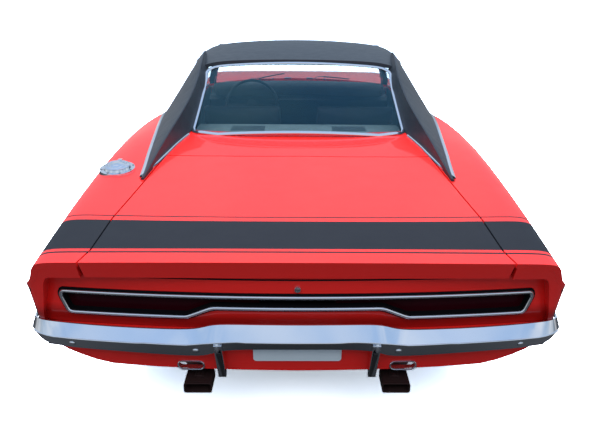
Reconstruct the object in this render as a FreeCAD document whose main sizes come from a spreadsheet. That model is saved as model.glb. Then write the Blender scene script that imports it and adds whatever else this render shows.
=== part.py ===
import FreeCAD, Part
import math
import os
import re

import Sketcher
from FreeCAD import Placement, Rotation, Vector

# A two-door fastback muscle car of about 1970, with flying-buttress roof sails, a recessed tail
# panel with one wide lamp, and chrome bumpers.
# Lengths are millimetres. +Y points to the nose, +X to the car's right, +Z up, and the origin is on
# the floor below the middle of the car.

SIZES = {
    # running gear
    "wheelbase": 2972,
    "front_overhang": 925,
    "rear_overhang": 1386,
    "front_track": 1516,
    "rear_track": 1504,
    "tyre_radius": 334,
    "tyre_width": 220,
    "bead_radius": 179,
    "rim_flange_radius": 192,
    "rim_width": 178,
    "rim_wall": 6,
    "hub_face_radius": 86,
    "hub_bore_radius": 35,
    "wheel_slots": 5,
    "wheel_slot_pitch_radius": 114,
    "wheel_slot_radius": 14,
    "lug_circle_radius": 57.15,
    "stud_radius": 6,
    "stud_length": 26,
    "arch_radius": 374,
    "kingpin_inset": 66,
    # body
    "body_half_width": 976,
    "roof_height": 1351,
    "panel_wall": 20,
    "shut_gap": 6,
    "seam": 0.3,
    "door_setback": 716,
    "door_length": 1290,
    "door_inner_half": 772,
    "sill_top": 296,
    "sill_inner_half": 730,
    "hood_rear_setback": 640,
    "hood_nose_gap": 122,
    "lid_front_setback": 348,
    "window_base_setback": 55,
    "lid_lip_height": 776,
    "lid_half_rear": 726,
    "glass_wall": 6,
    "tail_bow": 55,
    "ring_width": 13,
    "bow_reach": 853,
    "recess_depth": 6,
    "lamp_half_width": 842,
    "lamp_top": 700,
    "lamp_bottom": 602,
    "lamp_bottom_raised": 642,
    "bumper_half_width": 962,
    "plate_width": 320,
    "plate_height": 152,
    # inside
    "floor_wall": 8,
    "floor_height": 215,
    "floor_half_width": 728,
    "tunnel_half_width": 114,
    "tunnel_height": 180,
    "steering_rim_radius": 200,
    "steering_grip_radius": 11,
    "column_radius": 24,
    "driver_offset": 370,
    "seat_width": 540,
    # underneath
    "rail_width": 60,
    "rail_height": 110,
    "exhaust_radius": 28,
    "muffler_radius": 85,
    "axle_tube_radius": 38,
    "prop_radius": 38,
    "tip_width": 105,
    "tip_height": 42,
}

# Places along the car, worked out from the sizes.
PLACES = {
    "nose_y": "=(front_overhang + wheelbase + rear_overhang) / 2",
    "tail_y": "=-nose_y",
    "front_axle_y": "=nose_y - front_overhang",
    "rear_axle_y": "=tail_y + rear_overhang",
    "door_front_y": "=front_axle_y - door_setback",
    "door_rear_y": "=door_front_y - door_length",
    "hood_rear_y": "=front_axle_y - hood_rear_setback",
    "hood_front_y": "=nose_y - hood_nose_gap",
    "lid_front_y": "=rear_axle_y - lid_front_setback",
    "window_base_y": "=rear_axle_y - window_base_setback",
    "front_wheel_x": "=front_track / 2",
    "rear_wheel_x": "=rear_track / 2",
    "kingpin_x": "=front_wheel_x - kingpin_inset",
    "rail_x": "=400",
}

doc = FreeCAD.newDocument("MuscleCar")
sheet = doc.addObject("Spreadsheet::Sheet", "Sizes")
for row, (alias, value) in enumerate({**SIZES, **PLACES}.items(), start=1):
    sheet.set(f"A{row}", alias)
    sheet.set(f"B{row}", str(value))
    sheet.setAlias(f"B{row}", alias)
doc.recompute()


def mm(alias):
    """The value of a cell of the size sheet."""
    return float(sheet.get(alias))


def bound(expression):
    """An expression on the sheet's cells, written with their bare names."""
    names = re.sub(r"[a-z][a-z_]+", lambda m: "Sizes." + m.group() if m.group() in NAMES else m.group(),
        str(expression))
    return names


NAMES = {**SIZES, **PLACES}
parts = {}
nose_y = mm("nose_y")
tail_y = mm("tail_y")
front_axle_y = mm("front_axle_y")
rear_axle_y = mm("rear_axle_y")
door_front_y = mm("door_front_y")
door_rear_y = mm("door_rear_y")
hood_rear_y = mm("hood_rear_y")
hood_front_y = mm("hood_front_y")
lid_front_y = mm("lid_front_y")
window_base_y = mm("window_base_y")
gap = mm("shut_gap")
seam = mm("seam")
wall = mm("panel_wall")
half_width = mm("body_half_width")


# Sketch and feature helpers for the sub-parts made as bodies. Corners are (u, v) expressions.
def new_body(label):
    made = doc.addObject("PartDesign::Body", label)
    made.Label = label
    made.AllowCompound = True
    parts[label] = made
    return made


def base_plane(made, role):
    return next(f for f in made.Origin.OriginFeatures if f.Role == role)


def start_sketch(made, plane, offset):
    drawing = made.newObject("Sketcher::SketchObject", made.Name + "_outline")
    drawing.AttachmentSupport = [(base_plane(made, plane), "")]
    drawing.MapMode = "FlatFace"
    drawing.setExpression("AttachmentOffset.Base.z", bound(offset))
    return drawing


def value_of(expression):
    return float(sheet.evalExpression(bound(expression)))


def bind(drawing, kind, geometry, point, expression):
    value = value_of(expression)
    if kind == "Radius":
        index = drawing.addConstraint(Sketcher.Constraint(kind, geometry, value))
    else:
        index = drawing.addConstraint(Sketcher.Constraint(kind, -1, 1, geometry, point, value))
    drawing.setExpression(f"Constraints[{index}]", bound(expression))


def add_polygon(drawing, points):
    first = drawing.GeometryCount
    count = len(points)
    corners = [Vector(value_of(u), value_of(v), 0) for u, v in points]
    for i in range(count):
        drawing.addGeometry(Part.LineSegment(corners[i], corners[(i + 1) % count]))
    for i in range(count):
        following = first + (i + 1) % count
        drawing.addConstraint(Sketcher.Constraint("Coincident", first + i, 2, following, 1))
    for i, (u, v) in enumerate(points):
        bind(drawing, "DistanceX", first + i, 1, u)
        bind(drawing, "DistanceY", first + i, 1, v)


def add_circle(drawing, centre, radius):
    index = drawing.GeometryCount
    middle = Vector(value_of(centre[0]), value_of(centre[1]), 0)
    drawing.addGeometry(Part.Circle(middle, Vector(0, 0, 1), value_of(radius)))
    bind(drawing, "Radius", index, 0, radius)
    bind(drawing, "DistanceX", index, 3, centre[0])
    bind(drawing, "DistanceY", index, 3, centre[1])


def draw(made, plane, shapes, offset):
    """A sketch of polygons, given as lists of corners, and circles, given as (centre, radius)."""
    drawing = start_sketch(made, plane, offset)
    for shape in shapes:
        if isinstance(shape, list):
            add_polygon(drawing, shape)
        else:
            add_circle(drawing, *shape)
    return drawing


def pad(made, plane, shapes, length, offset="0", midplane=False, kind="Pad"):
    feature = made.newObject(f"PartDesign::{kind}", f"{made.Name}_{kind}")
    feature.Profile = draw(made, plane, shapes, offset)
    feature.setExpression("Length", bound(length))
    feature.Midplane = midplane
    feature.Profile[0].Visibility = False
    return feature


def pocket(made, plane, shapes, length, offset="0", midplane=True):
    return pad(made, plane, shapes, length, offset, midplane, "Pocket")


def revolve(made, plane, points, axis="H_Axis", kind="Revolution"):
    feature = made.newObject(f"PartDesign::{kind}", f"{made.Name}_{kind}")
    drawing = draw(made, plane, [points], "0")
    feature.Profile = drawing
    feature.ReferenceAxis = (drawing, [axis])
    feature.Angle = 360
    return feature


def mirror_x(made, *features):
    """Adds the left-hand twins of features on the right."""
    feature = made.newObject("PartDesign::Mirrored", f"{made.Name}_twins")
    feature.Originals = list(features)
    feature.MirrorPlane = (base_plane(made, "YZ_Plane"), [""])
    made.Tip = feature
    return feature


def around_x(made, original, count):
    """Repeats a feature round the axle."""
    feature = made.newObject("PartDesign::PolarPattern", f"{made.Name}_ring")
    feature.Originals = [original]
    feature.Axis = (next(f for f in made.Origin.OriginFeatures if f.Role == "X_Axis"), [""])
    feature.Angle = 360
    feature.setExpression("Occurrences", bound(count))
    made.Tip = feature
    return feature


def box(x_from, x_to, y_from, y_to):
    return [(x_from, y_from), (x_to, y_from), (x_to, y_to), (x_from, y_to)]


# Surface and solid helpers.
def clamped_knots(poles, degree):
    spans = poles - degree
    knots = [i / spans for i in range(spans + 1)]
    return knots, [degree + 1] + [1] * (spans - 1) + [degree + 1]


def net_surface(net, along=3, across=3):
    """A smooth surface drawn by a net of control points."""
    along = min(along, len(net) - 1)
    across = min(across, len(net[0]) - 1)
    along_knots, along_mults = clamped_knots(len(net), along)
    across_knots, across_mults = clamped_knots(len(net[0]), across)
    surface = Part.BSplineSurface()
    surface.buildFromPolesMultsKnots(
        net, along_mults, across_mults, along_knots, across_knots, False, False, along, across
    )
    return surface


def closed_solid(faces):
    shell = Part.makeShell(faces)
    shell.sewShape()
    solid = Part.makeSolid(shell)
    if solid.Volume < 0:
        solid.reverse()
    return solid


def slab(outer_net, inner_net, along=3, across=3):
    """The solid between two nets that match point for point."""
    outer = net_surface(outer_net, along, across)
    inner = net_surface(inner_net, along, across)
    faces = [outer.toShape(), inner.toShape()]
    for end in (0, 1):
        faces.append(Part.makeRuledSurface(outer.uIso(end).toShape(), inner.uIso(end).toShape()))
        faces.append(Part.makeRuledSurface(outer.vIso(end).toShape(), inner.vIso(end).toShape()))
    return closed_solid(faces)


def moved_net(net, dx=0, dy=0, dz=0):
    return [[point + Vector(dx, dy, dz) for point in row] for row in net]


def outline(points, place, radius=0):
    """A closed wire through 2D points, its corners rounded, put into space by place(u, v)."""
    count = len(points)
    edges = []
    starts = []
    ends = []
    arcs = []
    for i, (u, v) in enumerate(points):
        corner = Vector(u, v, 0)
        before = Vector(*points[i - 1], 0) - corner
        after = Vector(*points[(i + 1) % count], 0) - corner
        turn = math.pi - before.getAngle(after)
        reach = radius * math.tan(turn / 2)
        if turn < 0.02 or reach < 0.01:
            starts.append(corner)
            ends.append(corner)
            arcs.append(None)
            continue
        reach = min(reach, 0.45 * before.Length, 0.45 * after.Length)
        bend = reach / math.tan(turn / 2)
        before.normalize()
        after.normalize()
        bisector = (before + after).normalize()
        centre = corner + bisector * math.hypot(bend, reach)
        starts.append(corner + before * reach)
        ends.append(corner + after * reach)
        arcs.append(centre - bisector * bend)
    for i in range(count):
        if arcs[i] is not None:
            three = [place(p.x, p.y) for p in (starts[i], arcs[i], ends[i])]
            edges.append(Part.Arc(*three).toShape())
        following = starts[(i + 1) % count]
        if (following - ends[i]).Length > 0.001:
            edges.append(Part.LineSegment(place(ends[i].x, ends[i].y),
                place(following.x, following.y)).toShape())
    return Part.Wire(edges)


def prism_x(points, x_from, x_to, radius=0):
    """A side outline of (y, z) points, made solid from x_from to x_to."""
    wire = outline(points, lambda y, z: Vector(x_from, y, z), radius)
    return Part.Face(wire).extrude(Vector(x_to - x_from, 0, 0))


def prism_y(points, y_from, y_to, radius=0):
    """A front outline of (x, z) points, made solid from y_from to y_to."""
    wire = outline(points, lambda x, z: Vector(x, y_from, z), radius)
    return Part.Face(wire).extrude(Vector(0, y_to - y_from, 0))


def prism_z(points, z_from, z_to, radius=0):
    """A plan outline of (x, y) points, made solid from z_from to z_to."""
    wire = outline(points, lambda x, y: Vector(x, y, z_from), radius)
    return Part.Face(wire).extrude(Vector(0, 0, z_to - z_from))


def block(low, high):
    low, high = Vector(*low), Vector(*high)
    size = high - low
    return Part.makeBox(size.x, size.y, size.z, low)


def rod(start, end, radius):
    start, end = Vector(*start), Vector(*end)
    return Part.makeCylinder(radius, (end - start).Length, start, end - start)


def mirrored(shape):
    return shape.mirror(Vector(0, 0, 0), Vector(1, 0, 0))


def both_sides(points):
    """A plan or front outline given for the right half, closed with its mirror image."""
    return points + [(-u, v) for u, v in reversed(points) if abs(u) > 0.01]


def keep(label, shape):
    """Adds a finished sub-part to the document."""
    feature = doc.addObject("Part::Feature", label)
    feature.Label = label
    feature.Shape = shape
    parts[label] = feature
    return feature


# Body side and deck. Each frame is one cross-section's control points, given by: place along the
# car, sill half width, underside height, bulge half width and height, shoulder half width and
# height, centre height, and how far the shoulder's rounding reaches.
def body_frames():
    wide = half_width
    front = front_axle_y
    rear = rear_axle_y
    return [
        (tail_y - 30, wide - 62, 440, wide - 28, 680, wide - 92, 836, 843, 50),
        (rear - 1040, wide - 66, 362, wide - 18, 660, wide - 70, 874, 868, 54),
        (rear - 640, wide - 62, 292, wide - 3, 640, wide - 60, 928, 905, 75),
        (rear - 240, wide - 62, 248, wide + 6, 620, wide - 68, 987, 950, 95),
        (rear + 160, wide - 70, 236, wide + 4, 610, wide - 88, 1010, 985, 95),
        (rear + 560, wide - 86, 226, wide - 18, 600, wide - 106, 990, 985, 85),
        (rear + 960, wide - 96, 222, wide - 46, 600, wide - 122, 946, 975, 70),
        (door_front_y - 880, wide - 100, 222, wide - 56, 600, wide - 126, 926, 970, 60),
        (door_front_y - 400, wide - 100, 222, wide - 52, 600, wide - 120, 920, 968, 55),
        (front - 716, wide - 98, 225, wide - 38, 600, wide - 110, 917, 962, 50),
        (front - 316, wide - 92, 235, wide - 20, 600, wide - 100, 914, 948, 48),
        (front + 84, wide - 88, 250, wide - 14, 605, wide - 94, 902, 922, 46),
        (front + 484, wide - 92, 275, wide - 26, 610, wide - 100, 868, 876, 44),
        (nose_y + 30, wide - 104, 320, wide - 56, 620, wide - 116, 806, 800, 40),
    ]


def body_net(inset):
    """Full-width control net of the lower body, moved inwards by inset."""
    net = []
    for y, sill, under, bulge, bulge_z, shoulder, shoulder_z, crown, rounding in body_frames():
        half = [
            (sill, under, 1, 0),
            (sill + 0.65 * (bulge - sill), under + 0.3 * (bulge_z - under), 1, 0),
            (bulge, bulge_z - 120, 1, 0),
            (bulge, bulge_z + 60, 1, 0),
            (shoulder + 0.3 * (bulge - shoulder), shoulder_z - 1.9 * rounding, 1, 0.1),
            (shoulder, shoulder_z - 0.4 * rounding, 1, 0.7),
            (shoulder - 0.7 * rounding, shoulder_z, 0.6, 1),
            (shoulder - 2.4 * rounding, shoulder_z + 0.25 * (crown - shoulder_z), 0, 1),
            (0.45 * shoulder, crown, 0, 1),
            (0, crown, 0, 1),
        ]
        right = [Vector(x - inset * out, y, z - inset * up) for x, z, out, up in half]
        left = [Vector(-p.x, p.y, p.z) for p in reversed(right[:-1])]
        net.append(right + left)
    return net


def body_solid(inset=0):
    """The lower body as one solid, closed flat at both ends and below."""
    surface = net_surface(body_net(inset))
    skin = surface.toShape()
    right_edge = surface.vIso(0).toShape()
    left_edge = surface.vIso(1).toShape()
    faces = [skin, Part.makeRuledSurface(right_edge, left_edge)]
    for end in (0, 1):
        curve = surface.uIso(end).toShape()
        first, last = curve.Vertexes[0].Point, curve.Vertexes[-1].Point
        faces.append(Part.Face(Part.Wire([curve, Part.makeLine(last, first)])))
    return closed_solid(faces)


# Tail and nose faces: rows of (height, place at the centre line, bow at the reach), and columns that
# run across the car and round its corners.
TAIL_COLUMNS = [(0, 0), (300, 0), (600, 0), (900, 0), (940, 12), (963, 74), (1000, 420)]
NOSE_COLUMNS = [(200, 0), (600, 0), (870, 0), (925, 32), (958, 150), (1000, 420)]


def end_net(rows, columns, direction, shift=0):
    scale = half_width / 976
    across = [(x, corner) for x, corner in reversed(columns)]
    across += [(-x, corner) for x, corner in columns if x > 0]
    net = []
    for z, centre, bow in rows:
        row = []
        for x, corner in across:
            sweep = bow * (x / mm("bow_reach")) ** 2
            row.append(Vector(x * scale, centre + shift + direction * (sweep + corner), z))
        net.append(row)
    return net


def tail_net(shift=0):
    """The outer face: the ends of the quarters, the lid's lip and the valance."""
    bow = mm("tail_bow")
    rows = [
        (300, tail_y + 120, bow), (590, tail_y + 66, 45), (702, tail_y + 68, 16),
        (773, tail_y + 54, 6), (843, tail_y + 25, 0), (1100, tail_y - 80, 0),
    ]
    return end_net(rows, TAIL_COLUMNS, 1, shift)


def recess_net(shift=0):
    """The sunk face that carries the lamp, bowed more than the outer one."""
    bow = mm("tail_bow")
    rows = [
        (300, tail_y + 120, bow + 2), (590, tail_y + 66, bow + 2), (702, tail_y + 68, bow),
        (773, tail_y + 54, 50), (843, tail_y + 25, 45), (1100, tail_y - 80, 45),
    ]
    return end_net(rows, TAIL_COLUMNS, 1, shift + mm("recess_depth"))


def tail_cutter(shift=0):
    """Everything behind the tail face."""
    near = tail_net(shift)
    far = [[Vector(p.x, tail_y - 900, p.z) for p in row] for row in near]
    return slab(near, far)


def nose_rows():
    return [
        (200, nose_y - 120, 90), (440, nose_y - 30, 90), (520, nose_y + 17, 90),
        (640, nose_y - 8, 90), (760, nose_y - 40, 90), (1100, nose_y - 200, 90),
    ]


def nose_net(shift=0):
    return end_net(nose_rows(), NOSE_COLUMNS, -1, shift)


def nose_cutter(shift=0, along=2):
    near = nose_net(shift)
    far = [[Vector(p.x, nose_y + 900, p.z) for p in row] for row in near]
    return slab(near, far, along=along)


body = body_solid().cut(tail_cutter()).cut(nose_cutter())
core = body_solid(wall)
skin = body.cut(core)
lining = body_solid(wall + seam)


# Plan outlines of the opening panels, right half, front to back.
def lid_outline(grow=0):
    g = grow
    rear = mm("lid_half_rear")
    return [
        (0, lid_front_y + g), (380, lid_front_y - 12 + g), (622 + g, lid_front_y - 42 + g),
        (654 + g, rear_axle_y - 668), (697 + g, rear_axle_y - 1030), (704 + g, tail_y + 110),
        (rear + g, tail_y + 12), (rear + g, tail_y - 60),
    ]


def hood_outline(grow=0):
    g = grow
    return [
        (0, hood_front_y + g), (420, hood_front_y - 14 + g), (742 + g, hood_front_y - 62 + g),
        (770 + g, front_axle_y - 100), (770 + g, hood_rear_y - 10 - g), (400, hood_rear_y - g),
        (0, hood_rear_y + 8 - g),
    ]


def arch_cutter(axle_y, radius):
    """The wheel opening, a round arch that runs straight down below the axle."""
    round_part = Part.makeCylinder(radius, 700, Vector(500, axle_y, mm("tyre_radius")), Vector(1, 0, 0))
    lower = block((500, axle_y - radius, 0), (1200, axle_y + radius, mm("tyre_radius")))
    return round_part.fuse(lower).removeSplitter()


def side_pair(right):
    return Part.makeCompound([right, mirrored(right)])


# Front wings.
def build_fenders():
    region = prism_x(
        [(door_front_y + gap, 100), (door_front_y + gap, 1100), (nose_y + 200, 1100), (nose_y + 200, 100)],
        300, 1100,
    )
    wing = skin.common(region)
    wing = wing.cut(prism_z(both_sides(hood_outline(gap)), 600, 1200))
    inner_half = 770 + gap
    wing = wing.cut(block((0, door_front_y - 100, 700), (inner_half, hood_rear_y, 1200)))
    wing = wing.cut(arch_cutter(front_axle_y, mm("arch_radius")))
    # the bumper loop and the valance take the place of the wing at the front
    wing = wing.cut(block((0, nose_y - 250, 0), (1200, nose_y + 300, 452)))
    wing = wing.cut(nose_cutter(-46 - seam, along=3).common(nose_prism(loop_outline(), seam, 30)))
    wing = wing.cut(block((0, hood_front_y - 100, 600), (742 + gap, nose_y + 100, 1200)))
    return side_pair(largest(wing))


def largest(shape):
    return max(shape.Solids, key=lambda s: s.Volume)


# Quarter panels, from the door's rear edge to the tail panel.
def quarter_inner_line(grow=0):
    g = grow
    return [
        (0, door_rear_y + 400), (775, door_rear_y + 400), (760, door_rear_y - 180),
        (600 + g, window_base_y + 210),
        (612 + g, window_base_y - 12),
        (622 + g, lid_front_y - 42), (654 + g, rear_axle_y - 668), (697 + g, rear_axle_y - 1030),
        (704 + g, tail_y + 110), (mm("lid_half_rear") + g, tail_y + 12),
        (mm("lid_half_rear") + g, tail_y - 60), (0, tail_y - 60),
    ]


def build_quarters():
    region = block((300, tail_y - 200, 100), (1100, door_rear_y - gap, 1200))
    quarter = skin.common(region)
    quarter = quarter.cut(prism_z(quarter_inner_line(gap), 600, 1300))
    quarter = quarter.cut(arch_cutter(rear_axle_y, mm("arch_radius")))
    corner = [
        (tail_y - 100, 100), (tail_y + 260, 100), (tail_y + 260, 376), (tail_y + 110, 486),
        (tail_y - 100, 486),
    ]
    return side_pair(largest(quarter.cut(prism_x(corner, 700, 1100))))


def build_deck_panel():
    inner = quarter_inner_line(gap)
    points = [
        (0, window_base_y + 70), (598, window_base_y + 70), (612 + gap - 1, window_base_y - 12),
        (622 + gap - 1, lid_front_y - 42 + gap), (380, lid_front_y - 12 + gap), (0, lid_front_y + gap),
    ]
    return skin.common(prism_z(both_sides(points), 700, 1200))


def build_lid():
    panel = skin.common(prism_z(both_sides(lid_outline()), 600, 1200))
    lip_zone = block((-mm("lid_half_rear"), tail_y - 100, mm("lid_lip_height")),
        (mm("lid_half_rear"), tail_y + 75, 900))
    lip = body.common(lip_zone).common(prism_z(both_sides(lid_outline()), 600, 1200))
    return largest(panel.fuse(lip).removeSplitter())


def build_hood():
    return largest(skin.common(prism_z(both_sides(hood_outline()), 600, 1200)))


def build_cowl():
    points = [
        (0, hood_rear_y + 8 - gap), (400, hood_rear_y - gap), (764, hood_rear_y - 10 - gap),
        (764, door_front_y - 130), (640, door_front_y - 110), (0, door_front_y - 30),
    ]
    return skin.common(prism_z(both_sides(points), 700, 1200))


def build_sills():
    zone = block(
        (mm("sill_inner_half"), door_rear_y - gap + seam, 150),
        (1100, door_front_y + gap - seam, mm("sill_top")),
    )
    return side_pair(largest(body.common(zone)))


def door_outline(front, rear):
    top = 1000
    return [(front, mm("sill_top") + gap), (front, top), (rear, top), (rear, mm("sill_top") + gap)]


def build_door():
    inner = mm("door_inner_half")
    zone = prism_x(door_outline(door_front_y, door_rear_y), inner, 1100)
    door = body.common(zone)
    # the rear edge leans in plan, so that its inner corner swings clear of the jamb
    lean = 46
    wedge = prism_z(
        [(inner - 10, door_rear_y - 50), (inner - 10, door_rear_y + lean), (900, door_rear_y),
        (900, door_rear_y - 50)],
        100, 1100,
    )
    return largest(door.cut(wedge))


# Side glass lies on one surface from the belt to the roof rail.
def side_glass_net(inset=0):
    ys = [door_front_y, door_front_y - 600, door_front_y - 1100, door_rear_y - 310, door_rear_y - 610]
    rows = [
        (880, [786, 798, 803, 803, 796]),
        (1000, [748, 764, 772, 770, 760]),
        (1140, [682, 702, 712, 708, 694]),
        (1300, [586, 608, 620, 614, 600]),
    ]
    return [[Vector(x - inset, y, z) for x, y in zip(xs, ys)] for z, xs in rows]


def build_side_glass(points):
    sheet_solid = slab(side_glass_net(), side_glass_net(mm("glass_wall")))
    raised = body_solid()
    raised.translate(Vector(0, 0, seam))
    pane = sheet_solid.common(prism_x(points, 400, 1000, 20)).cut(raised)
    return largest(pane)


def door_glass_outline():
    return [
        (door_front_y - 74, 860), (door_front_y - 158, 935), (door_front_y - 547, 1240),
        (door_front_y - 1000, 1261), (door_rear_y + 12, 1259), (door_rear_y + 12, 860),
    ]


def quarter_glass_outline():
    return [
        (door_rear_y + 4, 860), (door_rear_y + 4, 1271), (door_rear_y - 180, 1262),
        (door_rear_y - 330, 1140), (door_rear_y - 420, 990), (door_rear_y - 420, 860),
    ]


# Roof panel with its sails.
def roof_net(inset=0):
    top = mm("roof_height") + 4
    rows = [
        (door_front_y - 575, 1308, 1300, 1285, 1262, 575, 42),
        (door_front_y - 750, top - 18, top - 24, top - 46, 1276, 598, 10),
        (door_front_y - 1000, top, top - 6, top - 30, 1284, 615, 0),
        (door_front_y - 1300, top - 2, top - 8, top - 32, 1285, 622, 0),
        (door_front_y - 1540, top - 22, top - 28, top - 48, 1272, 606, 0),
        (window_base_y + 560, 1302, 1296, 1284, 1236, 572, 6),
    ]
    net = []
    for y, crown, inner, shoulder, rail, half, sweep in rows:
        side = [
            Vector(half + 26 - inset, y - sweep, rail - 10),
            Vector(half + 8 - inset, y - sweep, rail + 22),
            Vector(half - 50, y - sweep * 0.8, shoulder - inset),
            Vector(0.6 * half, y - sweep * 0.35, inner - inset),
            Vector(0, y, crown - inset),
        ]
        net.append(side + [Vector(-p.x, p.y, p.z) for p in reversed(side[:-1])])
    return net


def sail_nets():
    """Outer and inner face of the right roof sail, from foot to crest, front to tip."""
    # (place, outer foot x, foot z, crest x, crest z, inner foot x, inner foot z)
    rail_y = door_rear_y - 150
    base_y = window_base_y
    # (foot y, crest y, outer foot x, foot z, crest x, crest z, inner foot x, inner foot z)
    stations = [
        (rail_y - 120, rail_y, 790, 965, 600, 1318, 560, 1250),
        (rail_y - 210, rail_y - 130, 800, 975, 590, 1326, 548, 1248),
        (base_y + 440, base_y + 540, 806, 975, 572, 1306, 520, 1225),
        (base_y + 280, base_y + 320, 794, 970, 562, 1222, 535, 1105),
        (base_y + 60, base_y + 60, 782, 965, 586, 1120, 556, 980),
        (base_y - 240, base_y - 240, 742, 945, 636, 1030, 618, 930),
        (base_y - 460, base_y - 460, 706, 925, 656, 968, 647, 905),
        (base_y - 618, base_y - 618, 680, 895, 671, 926, 664, 892),
    ]
    outer = []
    inner = []
    for foot_y, crest_y, foot_x, foot_z, crest_x, crest_z, in_x, in_z in stations:
        lean_x, lean_y = foot_x + 0.52 * (crest_x - foot_x) + 6, 0.45 * foot_y + 0.55 * crest_y
        outer.append([
            Vector(foot_x, foot_y, foot_z), Vector(lean_x, lean_y, foot_z + 0.58 * (crest_z - foot_z)),
            Vector(crest_x + 9, crest_y, crest_z - 4), Vector(crest_x, crest_y, crest_z),
        ])
        inner.append([
            Vector(in_x, foot_y, in_z), Vector(in_x + 0.5 * (crest_x - in_x) - 4, lean_y,
            in_z + 0.5 * (crest_z - in_z)),
            Vector(crest_x - 8, crest_y, crest_z - 12), Vector(crest_x - 7, crest_y, crest_z),
        ])
    return outer, inner


def build_roof():
    top = slab(roof_net(), roof_net(30))
    outer, inner = sail_nets()
    sail = slab(outer, inner)
    raised = body_solid()
    raised.translate(Vector(0, 0, seam))
    sail = largest(sail.cut(raised))
    shape = top.fuse([sail, mirrored(sail)])
    return shape


def offset_prism(points, grow, y_from, y_to, radius=0):
    """A front outline grown or shrunk by an even margin, made solid along the car."""
    wire = outline(points, lambda x, z: Vector(x, y_from, z), radius)
    face = Part.Face(wire)
    if grow:
        face = face.makeOffset2D(grow)
    return face.extrude(Vector(0, y_to - y_from, 0))


# Tail: panel, lamp ring, lens, valance, bumper, plate.
def lamp_outline():
    half = mm("lamp_half_width")
    top = mm("lamp_top")
    low = mm("lamp_bottom")
    raised = mm("lamp_bottom_raised")
    return both_sides([(0, top), (half - 10, top), (half, top - 24), (half - 24, low), (388, low),
        (298, raised), (0, raised)])


def recess_outline():
    """The edge of the sunk part of the tail, which leans outwards as it goes down."""
    return both_sides([(0, 772), (852, 772), (868, 740), (884, 680), (904, 600), (916, 500), (0, 500)])


def tail_prism(points, grow=0, radius=0):
    return offset_prism(points, grow, tail_y - 200, tail_y + 400, radius)


def tail_layer(start, thickness):
    """A sheet that follows the outer tail face, start ahead of it and so thick."""
    return slab(tail_net(start), tail_net(start + thickness))


def recess_layer(start, thickness):
    """A sheet that follows the sunk face."""
    return slab(recess_net(start), recess_net(start + thickness))


valance_top = 558


def build_tail_panel():
    """The frame between the quarters' ends, the step inwards and the sunk floor, in one piece."""
    zone = block((-1000, tail_y - 100, valance_top + seam), (1000, tail_y + 400, 1000))
    half = mm("lid_half_rear") + gap
    zone = zone.cut(block((-half, tail_y - 200, mm("lid_lip_height") - gap), (half, tail_y + 500, 1100)))
    zone = zone.common(lining)
    recess = tail_prism(recess_outline(), 0, 26)
    around = tail_prism(recess_outline(), 8, 34)
    frame = tail_layer(0, wall).common(zone).cut(recess)
    step = slab(tail_net(0.4 * wall), recess_net(0.6 * wall)).common(zone).common(around.cut(recess))
    floor = recess_layer(0, wall).common(zone).common(around)
    panel = largest(floor.fuse([step, frame]).removeSplitter())
    return largest(panel.cut(tail_prism(lamp_outline(), -mm("ring_width"), 12)))


def build_lamp_ring():
    ring = tail_prism(lamp_outline(), 0, 22).cut(tail_prism(lamp_outline(), -mm("ring_width"), 12))
    return largest(recess_layer(-9 - seam, 9).common(ring))


def build_lens():
    return largest(recess_layer(wall + seam, 10).common(tail_prism(lamp_outline(), 4, 16)))


def build_valance(quarters):
    points = both_sides([
        (0, 366), (526, 371), (690, 377), (745, 390), (800, 411), (850, 436), (900, 472), (945, 522),
        (960, valance_top),
        (0, valance_top),
    ])
    points = [p for i, p in enumerate(points) if p not in points[:i]]
    sheet_solid = tail_layer(0, wall).common(tail_prism(points))
    hole = rounded_slot(392, 388, 95 + 2 * seam, 30 + 2 * seam)
    return largest(sheet_solid.cut(quarters).cut(Part.makeCompound([hole, mirrored(hole)])))


def spline(points):
    curve = Part.BSplineCurve()
    knots, mults = clamped_knots(len(points), 3)
    curve.buildFromPolesMultsKnots(points, mults, knots, False, 3)
    return curve.toShape()


def chevron_bar(rows, depth, thickness):
    """A bar with a forward edge line, a crease and a lower edge line, open at the front."""
    # rows: (x, forward shift, top, crease, bottom, share of the depth that points sideways, depth)
    def line(height, back, inset):
        right = []
        for row in rows:
            side = row[5]
            out = back * row[6] - inset
            right.append(Vector(row[0] + out * side, tail_y + 41 + row[1] - out * (1 - side), row[height]))
        left = [Vector(-p.x, p.y, p.z) for p in reversed(right[1:])]
        return spline(left + right)

    outer = [line(2, 0, 0), line(3, depth, 0), line(4, 8, 0)]
    inner = [line(2, 0, thickness), line(3, depth, thickness), line(4, 8, thickness)]
    faces = []
    for a, b in ((0, 1), (1, 2)):
        faces.append(Part.makeRuledSurface(outer[a], outer[b]))
        faces.append(Part.makeRuledSurface(inner[a], inner[b]))
        for end in (0, -1):
            corners = [c.Vertexes[end].Point for c in (outer[a], outer[b], inner[b], inner[a])]
            faces.append(Part.Face(Part.makePolygon(corners + corners[:1])))
    for i in (0, 2):
        faces.append(Part.makeRuledSurface(outer[i], inner[i]))
    return closed_solid(faces)


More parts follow.
